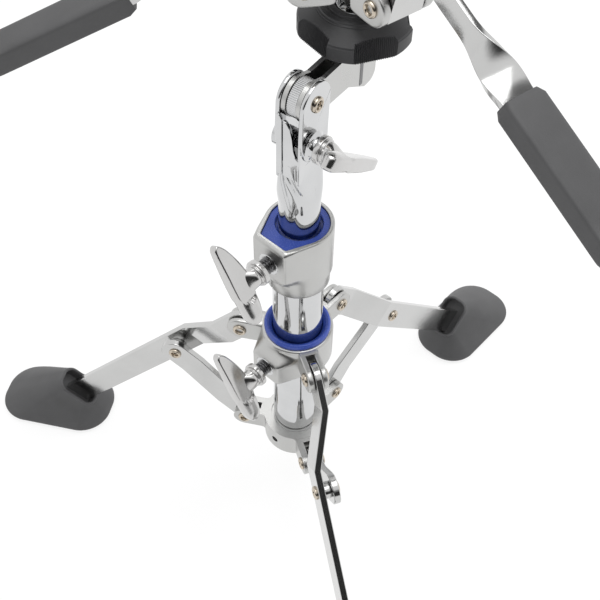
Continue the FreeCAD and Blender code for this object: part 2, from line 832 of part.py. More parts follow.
for side, azimuth in leg_names.items():
    spoke = turn("z", size.leg_azimuth + azimuth)
    on_collar = (spoke, move(size.pivot_radius, 0, collar_pivot_z), turn("y", size.rest_angle))
    on_hub = (spoke, move(size.pivot_radius, 0, hub_pivot_z), turn("y", -size.rest_angle))

    leg = jogged_bar(f"leg_{side}", size.leg_jog, mouth_reach + size.leg_in_foot, end_round=False)
    place(leg, *on_collar)
    strut = jogged_bar(f"strut_{side}", size.strut_jog, size.link_length + bar_end, end_round=True)
    place(strut, *on_hub)

    # the pivot where leg and strut cross: the leg keeps the outer rivet and its spacer,
    # the strut keeps the inner end
    crossing = move(size.link_length, 0, 0)
    leg_rivet = rivet(f"leg_rivet_{side}", -size.leg_jog - size.bar_thickness / 2, -leg_face,
                      high_head=False)
    spool = sketch_on(leg_rivet, "XZ_Plane", leg_face)
    circle(spool, 0, 0, size.spool_radius)
    pad(leg_rivet, spool, strut_face + size.rest_gap / 2 - leg_face)
    place(leg_rivet, *on_collar, crossing)
    pieces.append(leg_rivet)
    strut_rivet = rivet(f"strut_rivet_{side}", -strut_face, size.bar_thickness - strut_face, low_head=False)
    place(strut_rivet, *on_hub, crossing)
    pieces.append(strut_rivet)

    # rubber foot: a boot drawn from its flat sole up to a mouth square to the leg
    foot = new_body(f"foot_{side}")
    sole_place = (sole_r, -size.leg_jog - size.foot_side_shift)
    sole = sketch_on(foot, "XY_Plane")
    rounded_rectangle(sole, size.foot_half_length, size.foot_half_width, size.foot_corner, sole_place)
    pad(foot, sole, size.foot_sole)
    ankle = sketch_on(foot, "XY_Plane", size.foot_sole)
    rounded_rectangle(ankle, size.foot_half_length, size.foot_half_width, size.foot_corner, sole_place)
    mouth = mouth_sketch(foot)
    rounded_rectangle(mouth, size.foot_mouth_half_width, size.foot_mouth_half_height, size.foot_mouth_corner)
    boot = foot.newObject("PartDesign::AdditiveLoft", "boot")
    boot.Profile = ankle
    boot.Sections = [mouth]
    boot.Ruled = True
    opening = mouth_sketch(foot)
    rounded_rectangle(opening, size.foot_mouth_half_width - size.foot_lip,
                      size.foot_mouth_half_height - size.foot_lip, size.foot_mouth_corner - size.foot_lip)
    pocket(foot, opening, size.foot_recess, flipped=True)
    socket = mouth_sketch(foot)
    rectangle(socket, -size.bar_thickness / 2 - size.fit_gap, -bar_end - size.fit_gap - size.foot_mouth_rise,
              size.bar_thickness / 2 + size.fit_gap, bar_end + size.fit_gap - size.foot_mouth_rise)
    pocket(foot, socket, size.leg_in_foot + size.fit_gap, flipped=True)
    place(foot, spoke)
    pieces.append(foot)


# Upper tube: round below, flattened and slotted into two ears at the top
tilter_frame = turn("z", size.tilter_azimuth)
ear_inside = size.arm_channel_width / 2 + size.rest_gap
ear_outside = ear_inside + size.ear_wall
flatten_end = tilter_z - size.ear_length
flatten_start = flatten_end - size.flatten_length
upper_tube = new_body("upper_tube")
section = sketch_on(upper_tube, "XZ_Plane")
rectangle(section, 0, size.upper_bottom, size.upper_radius, flatten_start)
turned(upper_tube, section, "V_Axis")
round_end = sketch_on(upper_tube, "XY_Plane", flatten_start)
rounded_rectangle(round_end, size.upper_radius, size.upper_radius, size.upper_radius - size.slide_gap)
flat_end = sketch_on(upper_tube, "XY_Plane", flatten_end)
rounded_rectangle(flat_end, size.ear_half, ear_outside, size.ear_corner)
flattened = upper_tube.newObject("PartDesign::AdditiveLoft", "flattened")
flattened.Profile = round_end
flattened.Sections = [flat_end]
ears = sketch_on(upper_tube, "XZ_Plane")
outline(ears, [(-size.ear_half, flatten_end), (size.ear_half, flatten_end),
               (size.tilter_offset + size.ear_radius, tilter_z),
               (size.tilter_offset - size.ear_radius, tilter_z)],
        {2: (size.tilter_offset, tilter_z, 1)})
pad(upper_tube, ears, 2 * ear_outside, centred=True)
slot = sketch_on(upper_tube, "XZ_Plane")
rectangle(slot, -2 * size.ear_radius, flatten_end - size.ear_slot_drop, 2 * size.ear_radius,
          tilter_z + size.ear_radius + size.cut_over)
pocket(upper_tube, slot, 2 * ear_inside, centred=True)
bore = sketch_on(upper_tube, "XY_Plane", size.upper_bottom)
circle(bore, 0, 0, size.upper_radius - size.upper_wall)
pocket(upper_tube, bore, flatten_start - size.upper_bottom, flipped=True)
tilter_bolt_z = tilter_z - size.tilter_bolt_drop
for x, z, radius in ((size.tilter_offset, tilter_z, size.pin_radius + size.fit_gap),
                     (0, tilter_bolt_z, size.bolt_radius + size.slide_gap)):
    eye = sketch_on(upper_tube, "XZ_Plane")
    circle(eye, x, z, radius)
    pocket(upper_tube, eye, 3 * ear_outside, centred=True)
place(upper_tube, tilter_frame)
pieces.append(upper_tube)

tilter_rivet = rivet("tilter_rivet", -ear_outside, ear_outside)
place(tilter_rivet, tilter_frame, move(size.tilter_offset, 0, tilter_z))
pieces.append(tilter_rivet)

# Tilter wing bolt and the nut behind the far ear
tilter_shank = size.tilter_thread + 2 * ear_outside + size.bolt_ring_length
tilter_wing_bolt = wing_bolt("tilter_wing_bolt", tilter_shank)
place(tilter_wing_bolt, tilter_frame, turn("z", -90),
      move(ear_outside + size.tilter_thread, 0, tilter_bolt_z), turn("x", size.tilter_wing_roll))
tilter_nut = new_body("tilter_nut")
section = sketch_on(tilter_nut, "XY_Plane")
rectangle(section, size.bolt_radius + size.slide_gap, ear_outside, size.bolt_ring_radius,
          ear_outside + size.bolt_ring_length)
turned(tilter_nut, section, "V_Axis")
place(tilter_nut, tilter_frame, move(0, 0, tilter_bolt_z))
pieces.append(tilter_nut)

# Tilter arm: an open channel between the ears, from its pivot out to the basket rod
tilter_pivot = (tilter_frame, move(size.tilter_offset, 0, tilter_z))
channel_reach = size.rod_reach - size.tilter_offset
channel_tip = channel_reach + size.channel_end
tilter_arm = new_body("tilter_arm")
side = sketch_on(tilter_arm, "XZ_Plane")
dip_x = channel_reach - size.channel_dip_start
heel_x = channel_tip - size.channel_corner
heel_z = -size.channel_below - size.channel_dip
outline(side,
        [(0, -size.tilter_round), (dip_x, -size.channel_below),
         (channel_reach + size.channel_dip_end, heel_z), (heel_x, heel_z),
         (channel_tip, heel_z + size.channel_corner), (channel_tip, size.channel_above),
         (size.tilter_round, size.channel_above), (0, size.tilter_round)],
        {3: (heel_x, heel_z + size.channel_corner, 1), 7: (0, 0, 1)})
pad(tilter_arm, side, size.arm_channel_width, centred=True)
channel_inside = size.arm_channel_width / 2 - size.channel_wall
trough = sketch_on(tilter_arm, "XZ_Plane")
boss_start = channel_reach - size.rod_radius - size.channel_wall
trough_end = size.tilter_round + size.cut_over
trough_floor = size.channel_floor - size.tilter_round
outline(trough, [(-trough_end, -trough_end), (size.tilter_round, -trough_end),
                 (size.tilter_round, trough_floor), (boss_start, trough_floor),
                 (boss_start, trough_end), (-trough_end, trough_end)])
pocket(tilter_arm, trough, 2 * channel_inside, centred=True)
eye = sketch_on(tilter_arm, "XZ_Plane")
circle(eye, 0, 0, size.pin_radius + size.slide_gap)
pocket(tilter_arm, eye, size.arm_channel_width + size.cut_over, centred=True)
rod_hole = sketch_on(tilter_arm, "XY_Plane")
circle(rod_hole, channel_reach, 0, size.rod_radius + size.fit_gap)
pocket(tilter_arm, rod_hole, 4 * size.channel_below, centred=True)
place(tilter_arm, *tilter_pivot)
pieces.append(tilter_arm)

# Ratchet spacer: fills the channel round the pivot rivet
ratchet = new_body("tilter_ratchet")
section = sketch_on(ratchet, "XY_Plane")
ratchet_half = channel_inside - size.fit_gap
rectangle(section, size.pin_radius + size.slide_gap, -ratchet_half, size.ratchet_radius, ratchet_half)
turned(ratchet, section, "V_Axis")
place(ratchet, *tilter_pivot)
pieces.append(ratchet)

# Basket rod: a threaded rod fixed in the arm's end, up through both spiders
rod_frame = (tilter_frame, move(size.rod_reach, 0, 0))
channel_top = tilter_z + size.channel_above
knob_base = tilter_z + size.knob_lift
knob_top = knob_base + size.knob_rim + size.knob_cone
spider_base = knob_top + size.rest_gap
lower_pivot_z = spider_base + size.link_pivot_rise
upper_pivot_z = lower_pivot_z + size.spider_gap
upper_spider_base = upper_pivot_z - size.upper_spider_height / 2
upper_spider_top = upper_pivot_z + size.upper_spider_height / 2
rod_top = upper_spider_top + size.top_nut_height
basket_rod = new_body("basket_rod")
section = sketch_on(basket_rod, "XZ_Plane")
rectangle(section, 0, tilter_z - size.rod_below, size.rod_radius, rod_top)
turned(basket_rod, section, "V_Axis")
place(basket_rod, *rod_frame)
pieces.append(basket_rod)

# Rod collar: the shouldered sleeve on the arm that the hand wheel comes down on
rod_collar = new_body("rod_collar")
section = sketch_on(rod_collar, "XZ_Plane")
rectangle(section, size.rod_radius + size.fit_gap, channel_top, size.knob_insert_radius,
          knob_base - size.rest_gap)
turned(rod_collar, section, "V_Axis")
place(rod_collar, *rod_frame)
pieces.append(rod_collar)

# Hand wheel: a black moulding with scalloped grips round a threaded metal insert
basket_knob = new_body("basket_knob")
section = sketch_on(basket_knob, "XZ_Plane")
insert_bore = size.knob_insert_radius + size.fit_gap
rim_top = knob_base + size.knob_rim
outline(section, [(insert_bore, knob_base), (size.knob_radius, knob_base), (size.knob_radius, rim_top),
                  (size.knob_top_radius, knob_top), (insert_bore, knob_top)])
turned(basket_knob, section, "V_Axis")
scallop = sketch_on(basket_knob, "XY_Plane", knob_base + (size.knob_rim + size.knob_cone) / 2)
circle(scallop, size.knob_radius + size.scallop_radius - size.scallop_depth, 0, size.scallop_radius)
bite = pocket(basket_knob, scallop, 2 * (size.knob_rim + size.knob_cone), centred=True)
around(basket_knob, [bite], size.knob_scallops)
place(basket_knob, *rod_frame, turn("z", size.knob_turn))
pieces.append(basket_knob)

knob_insert = new_body("knob_insert")
section = sketch_on(knob_insert, "XZ_Plane")
rectangle(section, size.rod_radius + size.slide_gap, knob_base, size.knob_insert_radius,
          knob_top - size.knob_insert_recess)
turned(knob_insert, section, "V_Axis")
place(knob_insert, *rod_frame)
pieces.append(knob_insert)


# Spiders: hubs on the rod with three clevis lugs each
def spider(name, base, height, hub_radius, pivot_radius, pivot_z, lug_radius, lug_width, lug_slot, bore):
    """A hub with three slotted lugs. One lug points along x."""
    body = new_body(name)
    plan = sketch_on(body, "XY_Plane", base)
    circle(plan, 0, 0, hub_radius)
    pad(body, plan, height)
    side = sketch_on(body, "XZ_Plane")
    lug_root = (bore + hub_radius) / 2
    outline(side,
            [(lug_root, pivot_z - lug_radius), (pivot_radius, pivot_z - lug_radius),
             (pivot_radius, pivot_z + lug_radius), (lug_root, pivot_z + lug_radius)],
            {1: (pivot_radius, pivot_z, 1)})
    lug = pad(body, side, lug_width, centred=True)
    gap = sketch_on(body, "XZ_Plane")
    rectangle(gap, pivot_radius - lug_radius - size.slot_clearance, pivot_z - lug_radius - size.cut_over,
              pivot_radius + lug_radius + size.cut_over, pivot_z + lug_radius + size.cut_over)
    slot = pocket(body, gap, lug_slot, centred=True)
    eye = sketch_on(body, "XZ_Plane")
    circle(eye, pivot_radius, pivot_z, size.pin_radius + size.fit_gap)
    hole = pocket(body, eye, lug_width + size.cut_over, centred=True)
    around(body, [lug, slot, hole], 3)
    middle = sketch_on(body, "XY_Plane", base + height / 2)
    circle(middle, 0, 0, bore)
    pocket(body, middle, height + 2 * size.cut_over, centred=True)
    place(body, *rod_frame, turn("z", size.basket_azimuth - size.tilter_azimuth))
    pieces.append(body)
    return body


def spider_pins(name, lug_width, pivot_radius, pivot_z):
    pins = []
    for step in range(3):
        pin = rivet(f"{name}_{step + 1}", -lug_width / 2, lug_width / 2)
        place(pin, *rod_frame, turn("z", size.basket_azimuth - size.tilter_azimuth + 120 * step),
              move(pivot_radius, 0, pivot_z))
        pins.append(pin)
    group(name, pins)


lower_slot = size.link_width + 2 * size.rest_gap
lower_lug_width = lower_slot + 2 * size.cheek_wall
spider("lower_spider", spider_base, size.spider_height, size.lower_hub_radius, size.lower_pivot_radius,
       lower_pivot_z, size.lower_lug_radius, lower_lug_width, lower_slot, size.rod_radius + size.slide_gap)
spider_pins("lower_spider_pins", lower_lug_width, size.lower_pivot_radius, lower_pivot_z)
upper_slot = size.arm_thickness + 2 * size.rest_gap
spider("upper_spider", upper_spider_base, size.upper_spider_height, size.upper_hub_radius,
       size.upper_pivot_radius, upper_pivot_z, size.upper_lug_radius, size.upper_lug_width, upper_slot,
       size.rod_radius + size.fit_gap)
spider_pins("upper_spider_pins", size.upper_lug_width, size.upper_pivot_radius, upper_pivot_z)
top_nut = new_body("rod_top_nut")
section = sketch_on(top_nut, "XZ_Plane")
rectangle(section, size.rod_radius + size.fit_gap, upper_spider_top, size.top_nut_radius, rod_top)
turned(top_nut, section, "V_Axis")
place(top_nut, *rod_frame)
pieces.append(top_nut)

# Basket arms and the links that lift them
arm_half = size.arm_height / 2
flare_end = size.arm_bar_length + size.arm_flare_length
plate_end = flare_end + size.arm_plate_length
link_pin_r = size.upper_pivot_radius + size.link_point * cosine(size.arm_droop)
link_pin_z = upper_pivot_z - size.link_point * sine(size.arm_droop)
link_run = link_pin_r - size.lower_pivot_radius
link_rise = link_pin_z - lower_pivot_z
link_length = root(link_run * link_run + link_rise * link_rise)
link_lean = Size(f"atan2({text_of(link_run)}; {text_of(link_rise)})")
link_inside = size.link_width / 2 - size.link_wall
for step in range(3):
    order = step + 1
    spoke = (*rod_frame, turn("z", size.basket_azimuth - size.tilter_azimuth + 120 * step))
    on_upper = (*spoke, move(size.upper_pivot_radius, 0, upper_pivot_z), turn("y", size.arm_droop))
    on_lower = (*spoke, move(size.lower_pivot_radius, 0, lower_pivot_z), turn("y", link_lean))

    # arm: a bar on edge that flares into a flat plate
    arm = new_body(f"basket_arm_{order}")
    side = sketch_on(arm, "XZ_Plane")
    outline(side,
            [(0, -arm_half), (size.arm_bar_length, -arm_half), (size.arm_bar_length, arm_half),
             (0, arm_half)],
            {3: (0, 0, 1)})
    pad(arm, side, size.arm_thickness, centred=True)
    deep_end = sketch_on(arm, "YZ_Plane", size.arm_bar_length)
    rectangle(deep_end, -size.arm_thickness / 2, -arm_half, size.arm_thickness / 2, arm_half)
    wide_end = sketch_on(arm, "YZ_Plane", flare_end)
    rectangle(wide_end, -size.arm_plate_width / 2, -size.arm_plate_thickness / 2,
              size.arm_plate_width / 2, size.arm_plate_thickness / 2)
    flare = arm.newObject("PartDesign::AdditiveLoft", "flare")
    flare.Profile = deep_end
    flare.Sections = [wide_end]
    flare.Ruled = True
    plate = sketch_on(arm, "XY_Plane")
    rectangle(plate, flare_end, -size.arm_plate_width / 2, plate_end, size.arm_plate_width / 2)
    pad(arm, plate, size.arm_plate_thickness, centred=True)
    for x in (0, size.link_point):
        eye = sketch_on(arm, "XZ_Plane")
        circle(eye, x, 0, size.pin_radius + size.slide_gap)
        pocket(arm, eye, 2 * size.arm_thickness, centred=True)
    place(arm, *on_upper)
    pieces.append(arm)

    # spacer on the arm that fills the link's channel
    spacer = new_body(f"arm_spacer_{order}")
    section = sketch_on(spacer, "XY_Plane")
    spacer_half = link_inside - size.rest_gap
    arm_side = size.arm_thickness / 2 + size.fit_gap
    outline(section, [(size.pin_bore, -spacer_half), (size.spool_radius, -spacer_half),
                      (size.spool_radius, -arm_side), (size.pin_radius, -arm_side),
                      (size.pin_radius, arm_side), (size.spool_radius, arm_side),
                      (size.spool_radius, spacer_half), (size.pin_bore, spacer_half)])
    turned(spacer, section, "V_Axis")
    place(spacer, *on_upper, move(size.link_point, 0, 0))
    pieces.append(spacer)

    # rubber tip: a sleeve on the plate with a lip that keeps the drum's rim in
    tip = new_body(f"arm_tip_{order}")
    tip_start = flare_end + size.tip_bare
    tip_half = size.arm_plate_width / 2 + size.tip_side
    tip_deep = size.arm_plate_thickness / 2 + size.tip_wall
    tip_end = plate_end + size.tip_lip_length
    side = sketch_on(tip, "XZ_Plane")
    outline(side, [(tip_start, -tip_deep), (tip_end, -tip_deep), (tip_end, tip_deep + size.tip_lip_height),
                   (plate_end, tip_deep + size.tip_lip_height), (plate_end, tip_deep),
                   (tip_start, tip_deep)])
    pad(tip, side, 2 * tip_half, centred=True)
    half = number(tip_half)

    def on_tip_side(start, middle, finish):
        return near(abs(start.y), half) and near(start.y, finish.y)

    round_edges(tip, size.tip_round, on_tip_side)
    socket = sketch_on(tip, "YZ_Plane", tip_start)
    socket_half = size.arm_plate_width / 2 + size.fit_gap
    socket_deep = size.arm_plate_thickness / 2 + size.fit_gap
    rectangle(socket, -socket_half, -socket_deep, socket_half, socket_deep)
    pocket(tip, socket, size.arm_plate_length - size.tip_bare + size.fit_gap, flipped=True)
    place(tip, *on_upper)
    pieces.append(tip)

    # link: a channel with its web outside, from the lower spider up to the arm
    link = new_body(f"basket_link_{order}")
    side = sketch_on(link, "XZ_Plane")
    outline(side, [(-size.link_end_radius, 0), (size.link_end_radius, 0),
                   (size.link_end_radius, link_length), (-size.link_end_radius, link_length)],
            {0: (0, 0, 1), 2: (0, link_length, 1)})
    pad(link, side, size.link_width, centred=True)
    web = sketch_on(link, "XZ_Plane")
    rectangle(web, 0, -size.link_web_drop, size.link_depth, size.link_web_rise)
    pad(link, web, size.link_width, centred=True)
    hollow = sketch_on(link, "XZ_Plane")
    web_inside = size.link_depth - size.link_wall
    over = link_length + 2 * size.link_end_radius
    outline(hollow, [(-2 * size.link_end_radius, -2 * size.link_end_radius),
                     (web_inside, -2 * size.link_end_radius), (web_inside, size.link_web_rise),
                     (2 * size.link_depth, size.link_web_rise), (2 * size.link_depth, over),
                     (-2 * size.link_end_radius, over)])
    pocket(link, hollow, 2 * link_inside, centred=True)
    for z, radius in ((0, size.pin_radius + size.slide_gap), (link_length, size.pin_radius + size.fit_gap)):
        eye = sketch_on(link, "XZ_Plane")
        circle(eye, 0, z, radius)
        pocket(link, eye, size.link_width + size.cut_over, centred=True)
    place(link, *on_lower)
    pieces.append(link)

    # the two ends of the rivet that the link keeps
    ends = []
    for sign, name in ((-1, "near"), (1, "far")):
        outer = sign * size.link_width / 2
        inner = sign * link_inside
        if sign < 0:
            stub = rivet(f"link_rivet_{order}_{name}", outer, inner, high_head=False)
        else:
            stub = rivet(f"link_rivet_{order}_{name}", inner, outer, low_head=False)
        place(stub, *on_lower, move(0, 0, link_length))
        ends.append(stub)
    group(f"link_rivet_{order}", ends)

# Check every object and every piece, then write the pieces
doc.recompute()
for item in doc.Objects:
    if "Invalid" in item.State or "Error" in item.State:
        raise RuntimeError(f"{item.Label} of type {item.TypeId} failed: {item.State}")
os.makedirs("parts", exist_ok=True)
for piece in pieces:
    shape = piece.Shape
    if shape.isNull() or not shape.isValid() or not shape.Solids:
        raise RuntimeError(f"{piece.Label} has no valid solid")
for piece in pieces:
    piece.Shape.exportStep(f"parts/{piece.Label}.step")
print(len(pieces), "pieces written")
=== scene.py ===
import math

import bmesh
import bpy
import numpy as np
from mathutils import Matrix, Vector


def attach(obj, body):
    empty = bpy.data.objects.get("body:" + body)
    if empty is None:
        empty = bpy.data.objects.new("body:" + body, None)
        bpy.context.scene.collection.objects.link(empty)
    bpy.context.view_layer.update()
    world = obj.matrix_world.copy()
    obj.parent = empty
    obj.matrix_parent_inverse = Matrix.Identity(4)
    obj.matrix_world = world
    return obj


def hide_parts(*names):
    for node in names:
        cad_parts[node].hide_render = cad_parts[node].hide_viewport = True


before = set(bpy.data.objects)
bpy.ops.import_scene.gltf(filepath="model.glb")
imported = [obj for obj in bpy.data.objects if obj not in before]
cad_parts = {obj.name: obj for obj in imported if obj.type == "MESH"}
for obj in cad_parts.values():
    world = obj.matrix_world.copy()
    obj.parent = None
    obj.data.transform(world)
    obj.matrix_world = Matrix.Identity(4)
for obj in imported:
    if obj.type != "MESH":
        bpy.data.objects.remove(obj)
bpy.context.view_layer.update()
scene = bpy.context.scene
scene.view_settings.view_transform = "Standard"

# Camera: looks down on the stand from the front left, at the photograph's angle,
# with a lens a little longer than normal.
eye = Vector((-0.0972, -0.2895, 0.5476))
flat_look = Vector((0.3216, 0.9469, 0.0))
look_down = math.radians(51.46)
camera_roll = math.radians(1.17)
look = flat_look * math.cos(look_down) - Vector((0.0, 0.0, math.sin(look_down)))
level_right = Vector((flat_look.y, -flat_look.x, 0.0))
level_up = level_right.cross(look)
camera_right = level_right * math.cos(camera_roll) + level_up * math.sin(camera_roll)
camera_up = level_up * math.cos(camera_roll) - level_right * math.sin(camera_roll)
camera_data = bpy.data.cameras.new("photo_camera")
camera_data.sensor_width = 36.0
camera_data.lens = 59.16
camera_data.clip_start = 0.01
camera = bpy.data.objects.new("photo_camera", camera_data)
camera.matrix_world = Matrix((
    (camera_right.x, camera_up.x, -look.x, eye.x),
    (camera_right.y, camera_up.y, -look.y, eye.y),
    (camera_right.z, camera_up.z, -look.z, eye.z),
    (0.0, 0.0, 0.0, 1.0),
))
scene.collection.objects.link(camera)
scene.camera = camera


# Studio: white all round for the camera and soft light from above. Polished metal also sees a dark wall
# behind the camera and a dark flag high on the right, which give it its black lines.
class Shade:
    """One output socket of a node tree. Arithmetic on it adds Math nodes."""

    def __init__(self, tree, socket=None):
        self.tree = tree
        self.socket = socket

    def node(self, kind, settings, sockets, out=0):
        """Add any other node: its type, its settings, then its sockets' values or links."""
        made = self.tree.nodes.new(kind)
        for name, value in settings.items():
            if name == "stops":
                while len(made.color_ramp.elements) < len(value):
                    made.color_ramp.elements.new(0.5)
                for stop, (place, colour) in zip(made.color_ramp.elements, value):
                    stop.position = place
                    stop.color = colour
            else:
                setattr(made, name, value)
        for name, value in sockets.items():
            if isinstance(value, Shade):
                self.tree.links.new(value.socket, made.inputs[name])
            else:
                made.inputs[name].default_value = value
        return Shade(self.tree, made.outputs[out] if made.outputs else None)

    def math(self, operation, *values):
        """A Math node on sockets and numbers."""
        return self.node("ShaderNodeMath", {"operation": operation}, dict(enumerate(values)))

    def __add__(self, other):
        return self.math("ADD", self, other)

    def __rsub__(self, other):
        return self.math("SUBTRACT", other, self)

    def __mul__(self, other):
        return self.math("MULTIPLY", self, other)

    def larger(self, other):
        """The larger of two values."""
        return self.math("MAXIMUM", self, other)

    def axes(self):
        """The x, y and z of a vector."""
        return [self.node("ShaderNodeSeparateXYZ", {}, {"Vector": self}, out) for out in "XYZ"]

    def steps(self, *stops):
        """A ramp from value to colour."""
        return self.node("ShaderNodeValToRGB", {"stops": stops}, {"Fac": self})

    def smooth(self, low, high):
        """0 below low, 1 above high, and an S curve between."""
        return self.node("ShaderNodeMapRange", {"interpolation_type": "SMOOTHSTEP"},
                         {"Value": self, "From Min": low, "From Max": high})


wall_side = (0.42, 0.74)
wall_top = (0.5, 0.85)
flag_way = (0.62, 0.15, 0.77)
flag_edge = (0.92, 0.985)
flag_depth = 0.85
dark_depth = 0.97
world = bpy.data.worlds.new("studio")
scene.world = world
world.use_nodes = True
world.node_tree.nodes.clear()
studio = Shade(world.node_tree)
side_x, side_y, height = studio.node("ShaderNodeTexCoord", {}, {}, "Generated").axes()
seen = studio.node("ShaderNodeLightPath", {}, {}, "Is Camera Ray")
mirrored = studio.node("ShaderNodeLightPath", {}, {}, "Is Glossy Ray")
behind = side_x * -flat_look.x + side_y * -flat_look.y
dark_wall = behind.smooth(*wall_side) * (1 - height.smooth(*wall_top))
flagward = side_x * flag_way[0] + side_y * flag_way[1] + height * flag_way[2]
dark_flag = flagward.smooth(*flag_edge) * flag_depth
light = (1 - dark_wall.larger(dark_flag) * mirrored * dark_depth).larger(seen)
background = studio.node("ShaderNodeBackground", {}, {"Color": light, "Strength": 1.0})
studio.node("ShaderNodeOutputWorld", {}, {"Surface": background})
lamp_aim = Vector((0.0, 0.0, 0.15))


def soft_lamp(name, place, width, power, in_mirrors):
    """A square soft box at place, turned towards the stand. Metal may reflect it or not."""
    lamp_data = bpy.data.lights.new(name, "AREA")
    lamp_data.shape = "SQUARE"
    lamp_data.size = width
    lamp_data.energy = power
    lamp = bpy.data.objects.new(name, lamp_data)
    lamp.location = place
    lamp.rotation_mode = "QUATERNION"
    lamp.rotation_quaternion = (lamp_aim - Vector(place)).to_track_quat("-Z", "Y")
    lamp.visible_glossy = in_mirrors
    scene.collection.objects.link(lamp)


soft_lamp("top_softbox", place=(0.1, 0.1, 1.3), width=0.9, power=6.0, in_mirrors=True)
soft_lamp("side_softbox", place=(1.0, 0.2, 0.7), width=0.6, power=4.0, in_mirrors=False)


# Floor: a wide sheet of pale paper under the stand. It keeps the stand's shadow, and glows enough
# to be white in the picture and in the metal.
def grey(level):
    """A grey as red, green, blue and alpha."""
    return (level, level, level, 1.0)


floor_half = 4.0
paper_tone = 0.9
glow_share = 0.8
floor_corners = [(x * floor_half, y * floor_half, 0.0) for x, y in ((-1, -1), (1, -1), (1, 1), (-1, 1))]
floor_mesh = bpy.data.meshes.new("floor")
floor_mesh.from_pydata(floor_corners, [], [(0, 1, 2, 3)])
floor = bpy.data.objects.new("floor", floor_mesh)
scene.collection.objects.link(floor)
floor_material = bpy.data.materials.new("pale_floor")
floor_material.use_nodes = True
floor_material.node_tree.nodes.clear()
floor_mesh.materials.append(floor_material)
sheet = Shade(floor_material.node_tree)
seen = sheet.node("ShaderNodeLightPath", {}, {}, "Is Camera Ray")
mirrored = sheet.node("ShaderNodeLightPath", {}, {}, "Is Glossy Ray")
paper = sheet.node("ShaderNodeBsdfDiffuse", {}, {"Color": grey(paper_tone)})
glow = sheet.node("ShaderNodeEmission", {}, {"Color": grey(1.0), "Strength": 1.0})
both = sheet.node("ShaderNodeMixShader", {}, {0: seen.larger(mirrored) * glow_share, 1: paper, 2: glow})
sheet.node("ShaderNodeOutputMaterial", {}, {"Surface": both})


# Rubber feet: moulded boots pushed over the leg ends, with a flat sole, a soft rolled edge round
# the mouth and a dark recess where the bar goes in.
def blank(name):
    """A new material with no nodes yet. Gives the material, its tree and its Object coordinates."""
    made = bpy.data.materials.new(name)
    made.use_nodes = True
    made.node_tree.nodes.clear()
    tree = Shade(made.node_tree)
    return made, tree, tree.node("ShaderNodeTexCoord", {}, {}, "Object")


def surface(tree, **sockets):
    """The Principled shader with its numbers and links, as the material's surface."""
    named = {name.replace("_", " "): value for name, value in sockets.items()}
    shader = tree.node("ShaderNodeBsdfPrincipled", {}, named)
    tree.node("ShaderNodeOutputMaterial", {}, {"Surface": shader})


grain_depth = 0.0004


def rubber(name, colour, rough, grain, bump):
    """Moulded rubber or plastic: a faint mottle and an even fine grain."""
    mottle = 0.86
    rough_spread = 0.15
    least_rough = rough - 0.07
    made, tree, place = blank(name)
    cloud = tree.node("ShaderNodeTexNoise", {}, {"Vector": place, "Scale": 90.0, "Detail": 5.0})
    fine = tree.node("ShaderNodeTexNoise", {}, {"Vector": place, "Scale": grain, "Detail": 4.0})
    dull = tuple(part * mottle for part in colour)
    tone = cloud.steps((0.3, (*dull, 1.0)), (0.72, (*colour, 1.0)))
    relief = tree.node("ShaderNodeBump", {}, {"Strength": bump, "Distance": grain_depth, "Height": fine})
    surface(tree, Base_Color=tone, Roughness=fine * rough_spread + least_rough, Normal=relief)
    return made


def cover(material, *names):
    """Give CAD nodes a material."""
    for name in names:
        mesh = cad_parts[name].data
        mesh.materials.clear()
        mesh.materials.append(material)


def move(x, y, z):
    """A shift as a 4 by 4 matrix."""
    step = np.eye(4)
    step[:3, 3] = (x, y, z)
    return step


def turn(axis, degrees):
    """A turn about one of the axes as a 4 by 4 matrix."""
    first, second = {"x": (1, 2), "y": (2, 0), "z": (0, 1)}[axis]
    angle = math.radians(degrees)
    step = np.eye(4)
    step[first, first] = step[second, second] = math.cos(angle)
    step[second, first] = math.sin(angle)
    step[first, second] = -math.sin(angle)
    return step


def placed(points, steps):
    """Points in millimetres taken through the steps, last step first, and given in metres."""
    whole = np.linalg.multi_dot([np.eye(4), np.eye(4), *steps])
    return (points @ whole[:3, :3].T + whole[:3, 3]) / 1000.0


def joined(x, y, z):
    """Points from their x, y and z, each spread over the shape that they have together."""
    return np.stack(np.broadcast_arrays(x, y, z), axis=-1)


def piece(name, body, material, grids, replaces=(), sharp=38.0):
    """One object from grids of points (rows, columns, 3) in metres, each closed round its columns.
    Meeting points are merged, which closes the seams and poles, and faces are turned outwards."""
    points = []
    quads = []
    start = 0
    for grid in grids:
        rows, columns = grid.shape[:2]
        index = start + np.arange(rows * columns).reshape(rows, columns)
        ahead = np.roll(index, -1, axis=1)
        quads.append(np.stack((index[:-1], ahead[:-1], ahead[1:], index[1:]), axis=-1).reshape(-1, 4))
        points.append(grid.reshape(-1, 3))
        start += rows * columns
    mesh = bpy.data.meshes.new(name)
    mesh.from_pydata(np.concatenate(points).tolist(), [], np.concatenate(quads).tolist())
    work = bmesh.new()
    work.from_mesh(mesh)
    bmesh.ops.remove_doubles(work, verts=work.verts, dist=2e-6)
    bmesh.ops.dissolve_degenerate(work, edges=work.edges, dist=1e-6)
    bmesh.ops.recalc_face_normals(work, faces=work.faces)
    work.to_mesh(mesh)
    work.free()
    mesh.shade_smooth()
    mesh.set_sharp_from_angle(angle=math.radians(sharp))
    mesh.materials.append(material)
    made = bpy.data.objects.new(name, mesh)
    scene.collection.objects.link(made)
    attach(made, body)
    if replaces:
        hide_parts(*replaces)


